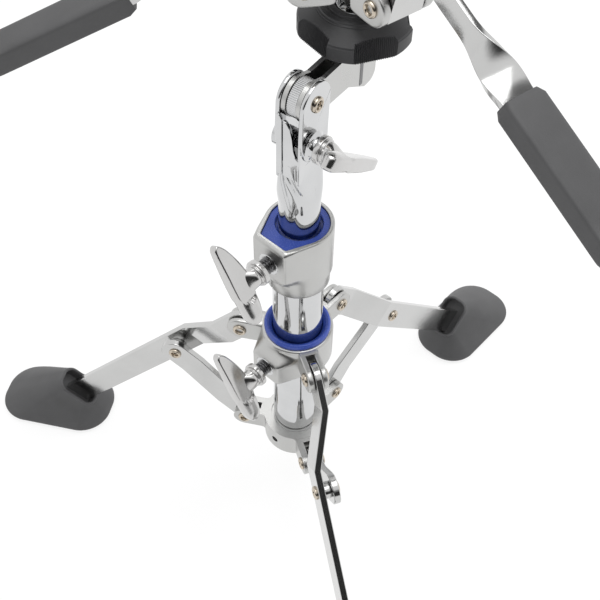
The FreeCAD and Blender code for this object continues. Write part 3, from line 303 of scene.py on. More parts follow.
def rounded_outline(half_long, half_wide, corner, count):
    """A rectangle with round corners: four quarter circles, joined by the straight sides."""
    quarter = np.linspace(0.0, np.pi / 2, count // 4 + 1)[:-1]
    arcs = []
    for order, (sign_x, sign_y) in enumerate(((1, 1), (-1, 1), (-1, -1), (1, -1))):
        angle = quarter + order * np.pi / 2
        arcs.append(np.stack((sign_x * (half_long - corner) + corner * np.cos(angle),
                              sign_y * (half_wide - corner) + corner * np.sin(angle)), axis=-1))
    return np.concatenate(arcs)


foot_rubber = rubber("dark_rubber", colour=(0.062, 0.062, 0.064), rough=0.55, grain=2600.0, bump=0.08)
sides = {"right": 30, "left": 150, "front": 270}
leg_slope = 46.1
leg_lean = math.radians(leg_slope)
mouth_up = np.array((math.sin(leg_lean), 0.0, math.cos(leg_lean)))
leg_way = np.array((math.cos(leg_lean), 0.0, -math.sin(leg_lean)))
sideways = np.array((0.0, 1.0, 0.0))
sole_middle = np.array((159.72, -12.25, 0.0))
sole_half_long = 35.3
sole_half_wide = 20.8
sole_corner = 18.0
sole_round = 3.0
mouth_middle = np.array((140.8, -10.25, 25.65))
mouth_half_long = 13.8
mouth_half_wide = 9.0
mouth_corner = 7.0
lip_half = 1.0
lip_rise = 1.4
recess_depth = 7.0
wall_swell = 0.12


def sole_row(inset, height, count=96):
    """The sole's rounded rectangle, smaller by the inset, at a height above the floor."""
    corner = max(sole_corner - inset, 1.0)
    flat = rounded_outline(sole_half_long - inset, sole_half_wide - inset, corner, count)
    return sole_middle + joined(flat[:, 0], flat[:, 1], height)


def mouth_row(inset, depth, count=96):
    """The mouth's rounded rectangle across the leg, smaller by the inset, at a depth along the leg."""
    corner = max(mouth_corner - inset, 0.6)
    flat = rounded_outline(mouth_half_long - inset, mouth_half_wide - inset, corner, count)
    return mouth_middle + flat[:, :1] * mouth_up + flat[:, 1:] * sideways + leg_way * depth


def boot():
    """The boot: rows from the middle of the sole out and up over its rounded edge, straight to the
    mouth with a slight swell, over the rolled lip, and down into the recess to its floor."""
    edge = [sole_row(sole_round * (1 - math.sin(bend)), sole_round * (1 - math.cos(bend)))
            for bend in np.linspace(0.0, math.pi / 2, 7)]
    ankle = edge[-1]
    neck = mouth_row(0.0, lip_rise)
    share = np.linspace(0.0, 1.0, 22)[1:, None, None]
    level_out = (ankle - ankle.mean(axis=0)) * (1.0, 1.0, 0.0)
    swell = wall_swell * share * (1 - share) ** 2 * level_out
    wall = ankle * (1 - share) + neck * share + swell
    lip = [mouth_row(lip_half * (1 - math.cos(bend)), lip_rise * (1 - math.sin(bend)))
           for bend in np.linspace(0.2, math.pi - 0.2, 9)]
    inside = [mouth_row(2 * lip_half, depth) for depth in (1.6, 3.0, 5.0, 6.6)]
    floor_rows = [mouth_row(inset, recess_depth) for inset in (2.4, 5.0)]
    recess_middle = mouth_row(2 * lip_half, recess_depth).mean(axis=0)
    first = np.broadcast_to(sole_middle, ankle.shape)
    last = np.broadcast_to(recess_middle, ankle.shape)
    return np.stack([first, sole_row(12.0, 0.0), *edge, *wall, *lip, *inside, *floor_rows, last])


for side, azimuth in sides.items():
    cover(foot_rubber, f"foot_{side}")
    piece(f"boot_{side}", f"leg_{side}", foot_rubber, [placed(boot(), [turn("z", azimuth)])],
          replaces=[f"foot_{side}"], sharp=50.0)


# Legs and struts: flat steel bars on edge, jogged sideways to pass each other, plated and finely brushed.
# The legs hang on the sliding collar and the struts on the hub.
def metal(name, tint, rough, rough_spread, grain, bump):
    """Plated or cast metal: small cloudy changes of roughness and tint, and a fine bump."""
    dulling = 0.93
    made, tree, place = blank(name)
    cloud = tree.node("ShaderNodeTexNoise", {}, {"Vector": place, "Scale": 60.0, "Detail": 4.0})
    fine = tree.node("ShaderNodeTexNoise", {}, {"Vector": place, "Scale": grain, "Detail": 3.0})
    dull = tuple(part * dulling for part in tint)
    colour = cloud.steps((0.3, (*dull, 1.0)), (0.7, (*tint, 1.0)))
    relief = tree.node("ShaderNodeBump", {}, {"Strength": bump, "Distance": grain_depth, "Height": fine})
    surface(tree, Base_Color=colour, Metallic=1.0, Normal=relief,
            Roughness=cloud * rough_spread + (rough - rough_spread / 2))
    return made


brushed_steel = metal("brushed_steel", tint=(0.58, 0.58, 0.575), rough=0.15, rough_spread=0.08,
                      grain=1200.0, bump=0.04)
for side in sides:
    cover(brushed_steel, f"leg_{side}", f"strut_{side}")


# Rivets: hollow nickel-plated tubes whose ends are rolled outwards into a round rim. They are the pivots
# of the legs, struts, tilter and basket.
def full_turn(count):
    """Even angles round a whole turn, without the last, which is the first again."""
    return np.linspace(0.0, 2.0 * np.pi, count, endpoint=False)


def lathe(profile, count=48):
    """A profile of radius and height turned about z: x = r cos a, y = r sin a."""
    profile = np.asarray(profile, float)
    angle = full_turn(count)
    radius = profile[:, :1]
    return joined(radius * np.cos(angle), radius * np.sin(angle), profile[:, 1:])


def softened(profile, radius, steps=5):
    """A profile whose inner corners are replaced by short parabolas of about the given radius."""
    most_share = 0.45
    profile = np.asarray(profile, float)
    corner = profile[1:-1]
    back = profile[:-2] - corner
    ahead = profile[2:] - corner
    back_length = np.linalg.norm(back, axis=1, keepdims=True)
    ahead_length = np.linalg.norm(ahead, axis=1, keepdims=True)
    enter = corner + back * np.minimum(radius / back_length, most_share)
    leave = corner + ahead * np.minimum(radius / ahead_length, most_share)
    t = np.linspace(0.0, 1.0, steps)[None, :, None]
    bends = (1 - t) ** 2 * enter[:, None] + 2 * t * (1 - t) * corner[:, None] + t ** 2 * leave[:, None]
    return np.concatenate((profile[:1], bends.reshape(-1, profile.shape[1]), profile[-1:]))


rivet_nickel = metal("rivet_nickel", tint=(0.60, 0.53, 0.44), rough=0.22, rough_spread=0.12,
                     grain=1500.0, bump=0.08)
pin_radius = 2.3
along_y = turn("x", -90)
rolled_end = np.array([(0.0, -0.4), (1.7, -0.4), (1.85, 0.7), (2.2, 1.2), (2.65, 1.35), (3.15, 1.15),
                       (3.5, 0.6), (3.6, 0.0)])


def rivet(low, high, low_head=True, high_head=True):
    """A rivet along y from low to high: the end's profile, turned about the axis, at one or both ends."""
    low_end = rolled_end * (1, -1) + (0, low) if low_head else np.array([(0.0, low)])
    high_end = rolled_end[::-1] + (0, high) if high_head else np.array([(0.0, high)])
    shank = [(pin_radius, low), (pin_radius, high)]
    return lathe(softened(np.concatenate((low_end, shank, high_end)), 0.25)) @ along_y[:3, :3].T


pivot_radius = 29.5
hub_pivot = 53.4
hub_lug_half = 5.8
collar_pivot = 137.42
collar_lug_half = 5.2
for name, body, pivot, half in (
    ("hub", "stand", hub_pivot, hub_lug_half),
    ("collar", "collar", collar_pivot, collar_lug_half),
):
    cover(rivet_nickel, f"{name}_rivets")
    piece(f"{name}_rolled_rivets", body, rivet_nickel,
          [placed(rivet(-half, half), [turn("z", azimuth), move(pivot_radius, 0, pivot)])
           for azimuth in sides.values()], replaces=[f"{name}_rivets"])
bar_thickness = 3.5
leg_outside = 12.0
leg_inside = leg_outside - bar_thickness
strut_outside = 4.7
strut_inside = strut_outside - bar_thickness
to_crossing = move(58.3, 0, 0)
spool_radius = 4.4
spool_end = strut_outside + 0.15
spool = softened([(0.0, -leg_inside), (spool_radius, -leg_inside), (spool_radius, -spool_end),
                  (0.0, -spool_end)], 0.4)
for side, azimuth in sides.items():
    cover(rivet_nickel, f"leg_rivet_{side}", f"strut_rivet_{side}")
    on_leg = [turn("z", azimuth), move(pivot_radius, 0, collar_pivot), turn("y", leg_slope), to_crossing]
    on_strut = [turn("z", azimuth), move(pivot_radius, 0, hub_pivot), turn("y", -leg_slope), to_crossing]
    piece(f"leg_rolled_rivet_{side}", f"leg_{side}", rivet_nickel,
          [placed(rivet(-leg_outside, -leg_inside, high_head=False), on_leg)],
          replaces=[f"leg_rivet_{side}"])
    piece(f"strut_rolled_rivet_{side}", f"strut_{side}", rivet_nickel,
          [placed(rivet(-strut_outside, -strut_inside, low_head=False), on_strut)],
          replaces=[f"strut_rivet_{side}"])
    piece(f"leg_spool_{side}", f"leg_{side}", brushed_steel,
          [placed(lathe(spool), [*on_leg, along_y])])

# Bottom hub and base tube: a chromed casting with three clevis lugs, held by a set screw on a plain
# steel tube that is polished and chromed.
bright_chrome = metal("bright_chrome", tint=(0.62, 0.625, 0.63), rough=0.06, rough_spread=0.04,
                      grain=900.0, bump=0.02)
satin_casting = metal("satin_casting", tint=(0.54, 0.54, 0.53), rough=0.32, rough_spread=0.10,
                      grain=900.0, bump=0.06)
thread_steel = metal("thread_steel", tint=(0.17, 0.17, 0.175), rough=0.24, rough_spread=0.10,
                     grain=1500.0, bump=0.06)
cover(bright_chrome, "base_tube")
cover(satin_casting, "leg_hub")
cover(thread_steel, "hub_set_screw")


# Leg collar: a casting that slides on the base tube on a blue nylon bush, with three clevis lugs and one
# side drawn out to a flat boss for its bolt. A bright countersunk ring lies round the bolt's hole.
def eased(value, low, high):
    """0 below low, 1 above high, and an S curve between."""
    share = np.clip((value - low) / (high - low), 0.0, 1.0)
    return share * share * (3.0 - 2.0 * share)


def teardrop(angle, radius, face, half, sharp=44.0):
    """Distance from the axis to a circle with two tangents to the ends of a flat. In each direction
    from the flat's middle it is the nearer of flat and tangent, joined by a power sum that rounds
    the corner, and past the tangents the circle."""
    lean = np.arctan2(half, face) + np.arccos(radius / np.hypot(face, half))
    tangent = radius / np.cos(np.maximum(lean - np.abs(angle), 0.0))
    flat = face / np.maximum(np.cos(angle), 0.05)
    return (tangent ** -sharp + flat ** -sharp) ** (-1 / sharp)


def shell(rows, angle):
    """A closed skin from rows of radius and height, given for each angle about z."""
    radius = np.stack([np.broadcast_to(row[0], angle.shape) for row in rows])
    height = np.stack([np.broadcast_to(row[1], angle.shape) for row in rows])
    return joined(radius * np.cos(angle), radius * np.sin(angle), height)


def closed_curve(points, count):
    """A smooth closed curve through points: Catmull-Rom, each span a cubic between two of them."""
    points = np.asarray(points, float)
    place = np.linspace(0.0, len(points), count, endpoint=False)
    span = place.astype(int)
    t = (place - span)[:, None]
    before, first, second, after = (points[(span + step) % len(points)] for step in (-1, 0, 1, 2))
    return 0.5 * (2 * first + (second - before) * t
                  + (2 * before - 5 * first + 4 * second - after) * t ** 2
                  + (3 * first - before - 3 * second + after) * t ** 3)


def even(amount):
    """The same half thickness all over."""
    return lambda x, z: np.full(x.shape, amount)


def slab(rim, pole, half, edge, middle=0.0, rows=18):
    """A flat piece in the xz plane. Each face runs from the pole out to the outline in even steps, its
    half thickness a function of x and z, and turns over the rim through a quarter circle."""
    pole = np.asarray(pole, float)
    along = np.roll(rim, -1, axis=0) - np.roll(rim, 1, axis=0)
    outward = np.stack((along[:, 1], -along[:, 0]), axis=-1) / np.linalg.norm(along, axis=1, keepdims=True)
    outward *= np.sign(np.sum(outward * (rim - pole)))
    bend = np.linspace(0.0, np.pi / 2, 6)[:, None]
    share = np.linspace(0.0, 1.0, rows)[:-1, None, None]
    face = pole + (rim - outward * edge - pole) * share
    over = rim - outward * (edge * (1.0 - np.sin(bend)))[..., None]
    x, z = np.moveaxis(np.concatenate((face, over)), -1, 0)
    drop = np.concatenate((np.zeros((rows - 1, 1)), edge * (1.0 - np.cos(bend))))
    rise = half(x, z) - drop
    near = joined(x, middle + rise, z)
    far = joined(x, middle - rise, z)
    return np.concatenate((near, far[::-1]))


def superellipse(half_wide, half_high, power, count=64):
    """Points of |y / wide|^power + |z / high|^power = 1 by angle, for whole columns of sizes."""
    angle = full_turn(count)
    y = half_wide * np.sign(np.cos(angle)) * np.abs(np.cos(angle)) ** (2 / power)
    z = half_high * np.sign(np.sin(angle)) * np.abs(np.sin(angle)) ** (2 / power)
    return y, z


def capped(rows, first, last):
    """Rows closed at both ends by one more row, whose points all lie on one point."""
    ends = [np.broadcast_to(point, rows[:1].shape) for point in (first, last)]
    return np.concatenate((ends[0], rows, ends[1]))


def lug_block(start, end, wide, high, pivot, power=7.0):
    """The root of a clevis lug: rows along x of a rounded block. Wide and high give its halves at
    the start and the end."""
    station = np.linspace(start, end, 12)[:, None]
    share = eased(station, start, end)
    half_wide = wide[0] + (wide[1] - wide[0]) * share
    half_high = high[0] + (high[1] - high[0]) * share
    y, z = superellipse(half_wide, half_high, power)
    return capped(joined(station, y, z + pivot), (start, 0.0, pivot), (end, 0.0, pivot))


def lug_cheek(start, reach, pivot, radius, inside, outside, sign):
    """One cheek of a clevis lug: a plate along x with a round end about the pivot."""
    neck = reach - 4.0
    shoulder = start + 1.5
    shoulder_rise = radius - 0.6
    sweep = np.radians(np.linspace(-90.0, 90.0, 25))
    end = np.stack((reach + radius * np.cos(sweep), pivot + radius * np.sin(sweep)), axis=-1)
    root = [(neck, pivot + radius), (shoulder, pivot + shoulder_rise), (start, pivot + radius / 2),
            (start, pivot - radius / 2), (shoulder, pivot - shoulder_rise), (neck, pivot - radius)]
    pole = ((start + reach) / 2 + 1.0, pivot)
    return slab(closed_curve(np.concatenate((end, root)), 120), pole, even((outside - inside) / 2), edge=0.9,
                middle=sign * (outside + inside) / 2)


blue_nylon = rubber("blue_nylon", colour=(0.030, 0.066, 0.34), rough=0.26, grain=1500.0, bump=0.03)
collar_radius = 18.5
collar_low = 123.42
collar_high = 144.62
collar_round = 1.3
boss_face = 24.5
boss_half = 8.5
boss_fade = (136.8, 143.2)
faded_face = 18.6
faded_half = 4.0
bush_outside = 14.7
tube_bore = 12.76
cheek_radius = 7.0
cheek_inside = 2.1
along_x = turn("y", 90)
bolt_way = turn("z", 210)
collar_bolt = [bolt_way, move(boss_face, 0, 132.42)]
around = np.linspace(-np.pi, np.pi, 360, endpoint=False)


def collar_shell():
    """Rows up the outside: a circle drawn out to the boss's flat, which draws back to the circle in an S
    curve above the bolt, then over the rounded top edge and down the bore."""
    heights = np.concatenate((collar_low + np.array((0.0, 0.3, 0.8)), np.linspace(125.0, 143.3, 32)))
    insets = np.concatenate(((0.8, 0.3), np.zeros(len(heights) - 2)))
    rows = [(bush_outside, collar_low)]
    for z, inset in zip(heights, insets):
        drawn = 1.0 - eased(z, *boss_fade)
        face = faded_face + (boss_face - faded_face) * drawn
        half = faded_half + (boss_half - faded_half) * drawn
        rows.append((teardrop(around, collar_radius, face, half) - inset, z))
    rows += [(collar_radius - collar_round * (1 - np.cos(bend)),
              collar_high - collar_round * (1 - np.sin(bend))) for bend in np.linspace(0.1, np.pi / 2, 8)]
    rows += [(bush_outside, collar_high), (bush_outside, collar_low)]
    return shell(rows, around)


bolt_eye = softened([(3.98, -0.6), (4.3, 0.05), (4.9, 0.22), (5.5, 0.2), (5.8, -0.2), (3.98, -0.6)], 0.12)
flange = softened([(tube_bore, 125.0), (14.6, 125.0), (14.6, collar_high), (16.9, collar_high), (17.1, 145.2),
                   (17.1, 146.4), (16.5, 147.6), (15.7, 147.8), (14.6, 147.0), (13.2, 145.4),
                   (tube_bore, 144.2), (tube_bore, 125.0)], 0.35)
collar_lug = [lug_block(15.4, 20.5, (collar_lug_half, collar_lug_half), (6.9, cheek_radius), collar_pivot)]
collar_lug += [lug_cheek(16.0, pivot_radius, collar_pivot, cheek_radius, cheek_inside, collar_lug_half, sign)
               for sign in (-1, 1)]
collar_lugs = [placed(grid, [turn("z", azimuth)]) for azimuth in sides.values() for grid in collar_lug]
cover(satin_casting, "leg_collar")
cover(blue_nylon, "collar_bush")
piece("collar_casting", "collar", satin_casting,
      [placed(collar_shell(), [bolt_way]), *collar_lugs], replaces=["leg_collar"])
piece("flanged_bush", "collar", blue_nylon, [placed(lathe(flange, 120), [])],
      replaces=["collar_bush"])
piece("collar_bolt_eye", "collar", bright_chrome,
      [placed(lathe(bolt_eye), [*collar_bolt, along_x])])

# Height clamp: a satin casting on top of the base tube, round with one side drawn out to a flat for the
# bolt. A blue nylon insert lies in it, a little below its rim, and its lower band is split.
clamp_base = 184.0
clamp_body = 193.0
clamp_top = 221.6
clamp_radius = 16.3
clamp_face = 20.5
clamp_half = 9.75
clamp_drawn = (191.5, 202.5)
undrawn_face = 16.6
undrawn_half = 3.0
rim_round = 1.1
flat_round = 2.7
band_radius = 15.3
groove_radius = 14.6
split_angle = -0.224
split_half = 0.027
split_depth = 1.0
hollow_floor = 201.0
hollow_section = np.array((14.3, 17.5, 7.75))
insert_gap = 0.05
insert_low = 201.1
insert_high = 220.6
insert_bore = 9.585
mouth_radius = 11.0


def clamp_shell():
    """Rows up the band, over a groove, up the drawn-out body, over the rounded rim, which is rounder
    at the flat, then down inside the hollow and the bore to the start."""
    split = split_depth * (np.abs(around - split_angle) < split_half)
    rows = [(tube_bore, clamp_base)]
    rows += [(band_radius - 0.3 - split, clamp_base), (band_radius - split, clamp_base + 0.4)]
    rows += [(band_radius - split, clamp_body - 1.0), (band_radius, clamp_body - 0.8)]
    rows += [(groove_radius, clamp_body - 0.6), (groove_radius, clamp_body - 0.25)]
    heights = np.concatenate(((clamp_body, clamp_body + 0.25), np.linspace(194.0, 203.0, 14), (211.0, 218.5)))
    insets = np.concatenate(((0.25,), np.zeros(len(heights) - 1)))
    for z, inset in zip(heights, insets):
        drawn = eased(z, *clamp_drawn)
        face = undrawn_face + (clamp_face - undrawn_face) * drawn
        half = undrawn_half + (clamp_half - undrawn_half) * drawn
        rows.append((teardrop(around, clamp_radius, face, half) - inset, z))
    outer = teardrop(around, clamp_radius, clamp_face, clamp_half)
    depth = rim_round + (flat_round - rim_round) * eased(np.cos(around), 0.76, 0.95)
    rows += [(outer - depth * (1 - np.cos(bend)), clamp_top - depth * (1 - np.sin(bend)))
             for bend in np.linspace(0.0, np.pi / 2, 9)]
    inner = teardrop(around, *hollow_section)
    rows += [(inner + 0.3, clamp_top), (inner, clamp_top - 0.3), (inner, 216.0), (inner, hollow_floor)]
    rows += [(tube_bore, hollow_floor), (tube_bore, clamp_base)]
    return shell(rows, around)


def insert_shell():
    """Rows up the insert's side and over its top into a wider mouth, then down the bore to the start."""
    outer = teardrop(around, *(hollow_section - insert_gap))
    rows = [(insert_bore, insert_low), (outer, insert_low), (outer, insert_high - 0.3)]
    rows += [(outer - 0.3, insert_high), (mouth_radius + 0.3, insert_high), (mouth_radius, insert_high - 0.3)]
    rows += [(mouth_radius, 217.8), (insert_bore, 217.4), (insert_bore, insert_low)]
    return shell(rows, around)


cover(satin_casting, "height_clamp")
cover(blue_nylon, "height_bush")
clamp_bolt = [bolt_way, move(clamp_face, 0, 209.0)]
piece("clamp_casting", "stand", satin_casting, [placed(clamp_shell(), [bolt_way])],
      replaces=["height_clamp"])
piece("clamp_insert", "stand", blue_nylon, [placed(insert_shell(), [bolt_way])],
      replaces=["height_bush"])
piece("clamp_bolt_eye", "stand", bright_chrome,
      [placed(lathe(bolt_eye), [*clamp_bolt, along_x])])


# Wing bolts: cast and plated, a long leaf with a round tail, thick at its outer edge, that flows out of
# a grooved ring, on a threaded shank. Two clamp the leg collar and the height, the third the tilter.
def thread(radius, depth, pitch, low, high, count=40):
    """A screw thread about z: the radius falls from crest to root and back once per pitch,
    and the crest climbs one pitch per turn."""
    rows_per_pitch = 10
    rise = np.linspace(low, high, max(8, int((high - low) / pitch * rows_per_pitch)))[:, None]
    angle = full_turn(count)
    phase = (rise / pitch - angle / (2.0 * np.pi)) % 1.0
    crest = radius - depth * np.clip(np.abs(2.0 * phase - 1.0) * 1.5 - 0.25, 0.0, 1.0)
    rows = joined(crest * np.cos(angle), crest * np.sin(angle), rise)
    return capped(rows, (0.0, 0.0, low), (0.0, 0.0, high))


wing_chrome = metal("wing_chrome", tint=(0.60, 0.595, 0.59), rough=0.18, rough_spread=0.06,
                    grain=700.0, bump=0.03)
leaf_outline = [
    (17.3, 22.2), (15.4, 23.7), (12.9, 21.4), (10.8, 17.4), (8.8, 12.2), (7.5, 7.4), (6.7, 3.2), (6.3, -0.6),
    (6.5, -4.4), (7.6, -9.8), (9.6, -15.9), (12.6, -19.2), (15.2, -19.0), (17.0, -15.8), (17.8, -8.8),
    (18.1, 1.0), (18.0, 8.5), (17.9, 14.5), (17.8, 19.2),
]
leaf_pole = (12.6, 2.0)
blade_half = 2.0
blade_swell = 1.2
tip_thinning = 0.6
tail_middle = 12.9
tail_half_wide = 5.2
tail_edge = 1.1
tail_swell = 2.9
tail_round_start = -14.0
tail_round = 6.2
arc_middle = (12.3, -1.5)
arc_radius = 5.8
neck_start = 3.2
neck_end = 11.0


def leaf_half(x, z):
    """Half the leaf's thickness: a wedge that grows towards the outer edge and thins to the tip. Below
    an arc under the oval blade the tail is a round bar."""
    wedge = blade_half + blade_swell * eased(x, 8.0, 17.0) * (1.0 - tip_thinning * eased(z, 6.0, 22.0))
    past = np.minimum(z - tail_round_start, 0.0) / tail_round
    aside = (x - tail_middle) / tail_half_wide
    end = np.sqrt(np.maximum(1.0 - past ** 2, 0.0))
    bar = tail_edge + tail_swell * end * np.sqrt(np.maximum(1.0 - aside ** 2, 0.0))
    below = np.hypot(x - arc_middle[0], np.minimum(z - arc_middle[1], 0.0)) - arc_radius
    tail = eased(below, 0.0, 0.6) * eased(-z, 3.0, 6.0)
    return wedge + (bar - wedge) * tail


def wing_neck():
    """Rows from the ring out to the leaf: a circle that flattens a little into the leaf."""
    station = np.linspace(neck_start, neck_end, 20)[:, None]
    share = eased(station, 4.5, neck_end)
    y, z = superellipse(4.8 - 2.9 * share, 5.0 + 0.9 * share, 2.0 + 0.6 * share)
    return capped(joined(station, y, z), (neck_start, 0.0, 0.0), (neck_end, 0.0, 0.0))


leaf = slab(closed_curve(leaf_outline, 180), leaf_pole, leaf_half, edge=1.0)
bolt_ring = softened([(0.0, 0.0), (6.4, 0.0), (6.4, 2.4), (5.2, 2.6), (5.2, 3.1), (5.7, 3.3), (5.2, 4.0),
                      (0.0, 4.2)], 0.3)
ring_gap = move(5.5, 0, 0)
wing_roll = turn("x", 31)
tilter_azimuth = 37.2
tilter_bolt_way = turn("z", tilter_azimuth - 90)
tilter_bolt_height = 270.6
tilter_bolt = [tilter_bolt_way, move(9.55, 0, tilter_bolt_height)]
for bolt, body, shank, steps in (
    ("collar", "collar_bolt", 17.0, [*collar_bolt, ring_gap, wing_roll]),
    ("clamp", "clamp_bolt", 16.17, [*clamp_bolt, ring_gap, wing_roll]),
    ("tilter", "tilter_bolt", 19.95, [*tilter_bolt, turn("x", -127)]),
):
    cover(wing_chrome, f"{bolt}_wing_bolt")
    piece(f"{bolt}_wing", body, wing_chrome,
          [placed(leaf, steps), placed(wing_neck(), steps), placed(lathe(bolt_ring, 64), [*steps, along_x])],
          replaces=[f"{bolt}_wing_bolt"])
    shank_thread = thread(radius=3.9, depth=0.75, pitch=1.4, low=-shank, high=0.4)
    piece(f"{bolt}_bolt_thread", body, thread_steel,
          [placed(shank_thread, [*steps, along_x])])

# Upper tube: a chromed tube whose top is pressed flat into two ears with round ends. On the front left
# the pressed edges nearly meet in a slit, below it two creases run out, and a boss is pressed at the bolt.
tilter_turn = turn("z", tilter_azimuth)
tilter_pivot = 291.6
pivot_offset = 1.2
tube_radius = 9.525
tube_foot = 82.0
tube_rise = 263.0
pressed = (234.0, 259.0)
far_line = ((236.0, 244.0, 252.0, 261.0), (-1.8, 0.2, 2.1, 2.7))
near_line = ((242.0, 247.0, 252.0, 257.0, 261.0), (-7.4, -5.6, -2.6, 0.6, 2.7))
ear_radius = 9.8
ear_half = 1.0
ear_middle = 5.8
ear_outside = ear_middle + ear_half
ear_pole = (0.8, 281.0)
ear_foot = [(-9.1, 283.0), (-9.3, 277.0), (-8.5, 272.0), (-5.8, 267.6), (-1.5, 265.3), (4.0, 264.1),
            (8.6, 263.6), (10.0, 265.5), (10.4, 277.0)]
wall_outline = [(0.0, 254.0), (9.5, 254.0), (9.9, 278.0), (-9.2, 278.0), (-9.5, 254.0), (0.0, 254.0)]
wall_half = 0.55
wall_middle = 5.45
lip_middle = 8.75


def crease(height, across, line, depth, width, start, full):
    """A narrow well with a bell curve's section: it follows a line up the tube and deepens from
    the start to its full depth."""
    middle = np.interp(height, *line)
    return depth * eased(height, start, full) * np.exp(-((across - middle) / width) ** 2)


def tube_skin(count=360):
    """Rows up the tube: a circle below, easing into a rounded rectangle above. On the narrow side two
    creases run together towards the slit."""
    height = np.concatenate((np.linspace(tube_foot, 222.0, 8), np.linspace(224.0, tube_rise, 70)))[:, None]
    angle = full_turn(count)
    press = eased(height, *pressed)
    power = 2.0 + 4.5 * press
    wide = tube_radius + 0.1 * press
    thick = tube_radius - 3.5 * press
    reach = (np.abs(np.cos(angle) / wide) ** power + np.abs(np.sin(angle) / thick) ** power) ** (-1 / power)
    x = reach * np.cos(angle)
    y = reach * np.sin(angle)
    far_well = crease(height, y, far_line, depth=1.3, width=0.6, start=235.0, full=246.0)
    near_well = crease(height, y, near_line, depth=1.5, width=1.6, start=240.0, full=251.0)
    x = x + (x < 0) * np.maximum(far_well, near_well)
    return capped(joined(x, y, height), (0.0, 0.0, tube_foot), (0.0, 0.0, tube_rise - 1.0))


def ear_plate(sign):
    """One ear: its top a half circle about the pivot, its foot a curve that rises towards the slit."""
    sweep = np.radians(np.linspace(0.0, 180.0, 15))
    top = np.stack((pivot_offset + ear_radius * np.cos(sweep),
                    tilter_pivot + ear_radius * np.sin(sweep)), axis=-1)
    rim = closed_curve(np.concatenate((top, ear_foot)), 200)
    return slab(rim, ear_pole, even(ear_half), edge=0.6, middle=sign * ear_middle)


def ear_wall(sign):
    """The pressed wall below and behind an ear."""
    rim = softened(wall_outline, 1.0)[:-1]
    return slab(rim, (0.0, 266.0), even(wall_half), edge=0.3, middle=sign * wall_middle)


def slit_lip(outline, pole):
    """A pressed edge beside the slit: a plate across the tube's narrow side."""
    rim = softened([*outline, outline[0]], 0.5)[:-1]
    return slab(rim, pole, even(0.8), edge=0.35, middle=lip_middle) @ turn("z", 90)[:3, :3].T


near_lip = slit_lip([(-1.0, 256.0), (2.4, 256.0), (2.4, 286.0), (0.8, 285.8), (-0.9, 283.0), (-2.0, 278.0),
                     (-2.7, 272.0), (-3.8, 269.0), (-5.4, 268.0), (-5.4, 256.0)], (0.2, 265.0))
far_lip = slit_lip([(4.0, 256.0), (5.4, 256.0), (5.4, 288.5), (4.2, 288.5), (3.0, 286.0), (3.0, 256.0)],
                   (4.2, 270.0))
bolt_boss = softened([(0.0, 6.0), (7.6, 6.4), (5.9, 7.4), (5.1, 8.4), (5.0, 9.4), (0.0, 9.4)], 0.6)
tube_grids = [tube_skin(), ear_plate(-1), ear_plate(1), ear_wall(-1), ear_wall(1), near_lip, far_lip]
boss_grid = placed(lathe(bolt_boss, 64), [tilter_bolt_way, move(0, 0, tilter_bolt_height), along_x])
at_pivot = [tilter_turn, move(pivot_offset, 0, tilter_pivot)]
cover(bright_chrome, "upper_tube", "tilter_nut")
piece("upper_tube_formed", "upper", bright_chrome,
      [*(placed(grid, [tilter_turn]) for grid in tube_grids), boss_grid], replaces=["upper_tube"], sharp=50.0)
cover(rivet_nickel, "tilter_rivet")
piece("tilter_rolled_rivet", "upper", rivet_nickel,
      [placed(rivet(-ear_outside, ear_outside), at_pivot)], replaces=["tilter_rivet"])

# Tilter arm: a bent channel of plated steel between the ears. A toothed drum fills it at the pivot and
# holds the chosen tilt.
drum_radius = 8.25
tooth_height = 0.28
tooth_count = 60
rod_reach = 38.0
slot_half = 1.1
slot_low = 276.2
slot_high = 297.4
slot_middle = 4.45


def toothed_drum(count=480):
    """A drum along y: the radius is a rounded saw of the angle, and drops at the two ends."""
    angle = full_turn(count)
    across = np.array((-2.4, -2.4, -2.1, 2.1, 2.4, 2.4))[:, None]
    share = np.array((0.0, 0.94, 1.0, 1.0, 0.94, 0.0))[:, None]
    tooth = np.abs(np.sin(angle * tooth_count / 2)) ** 0.7
    radius = (drum_radius + tooth_height * tooth) * share
    return joined(radius * np.cos(angle), across, radius * np.sin(angle))


plated_channel = metal("plated_channel", tint=(0.55, 0.55, 0.54), rough=0.28, rough_spread=0.08,
                       grain=1200.0, bump=0.04)
cover(plated_channel, "tilter_arm", "tilter_ratchet")
piece("toothed_drum", "tilter", bright_chrome, [placed(toothed_drum(), at_pivot)],
      replaces=["tilter_ratchet"], sharp=25.0)
slot_near = rod_reach - slot_half
slot_far = rod_reach + slot_half
slot_rim = softened([(rod_reach, slot_low), (slot_far, slot_low), (slot_far, slot_high),
                     (slot_near, slot_high), (slot_near, slot_low), (rod_reach, slot_low)], 0.3)[:-1]
slot_grids = [slab(slot_rim, (rod_reach, 285.0), even(0.2), edge=0.05, middle=sign * slot_middle)
              for sign in (-1, 1)]
piece("rod_slot", "tilter", thread_steel,
      [placed(grid, [tilter_turn]) for grid in slot_grids])

# Basket rod: a threaded steel rod fixed in the tilter arm, with a plain sleeve below the hand wheel and
# a round nut at the top.
rod_steps = [tilter_turn, move(rod_reach, 0, 0)]
rod_thread = thread(radius=4.0, depth=0.6, pitch=2.0, low=283.6, high=370.0)
cover(bright_chrome, "basket_rod", "rod_collar", "rod_top_nut")
piece("rod_thread", "tilter", thread_steel, [placed(rod_thread, rod_steps)],
      replaces=["basket_rod"])

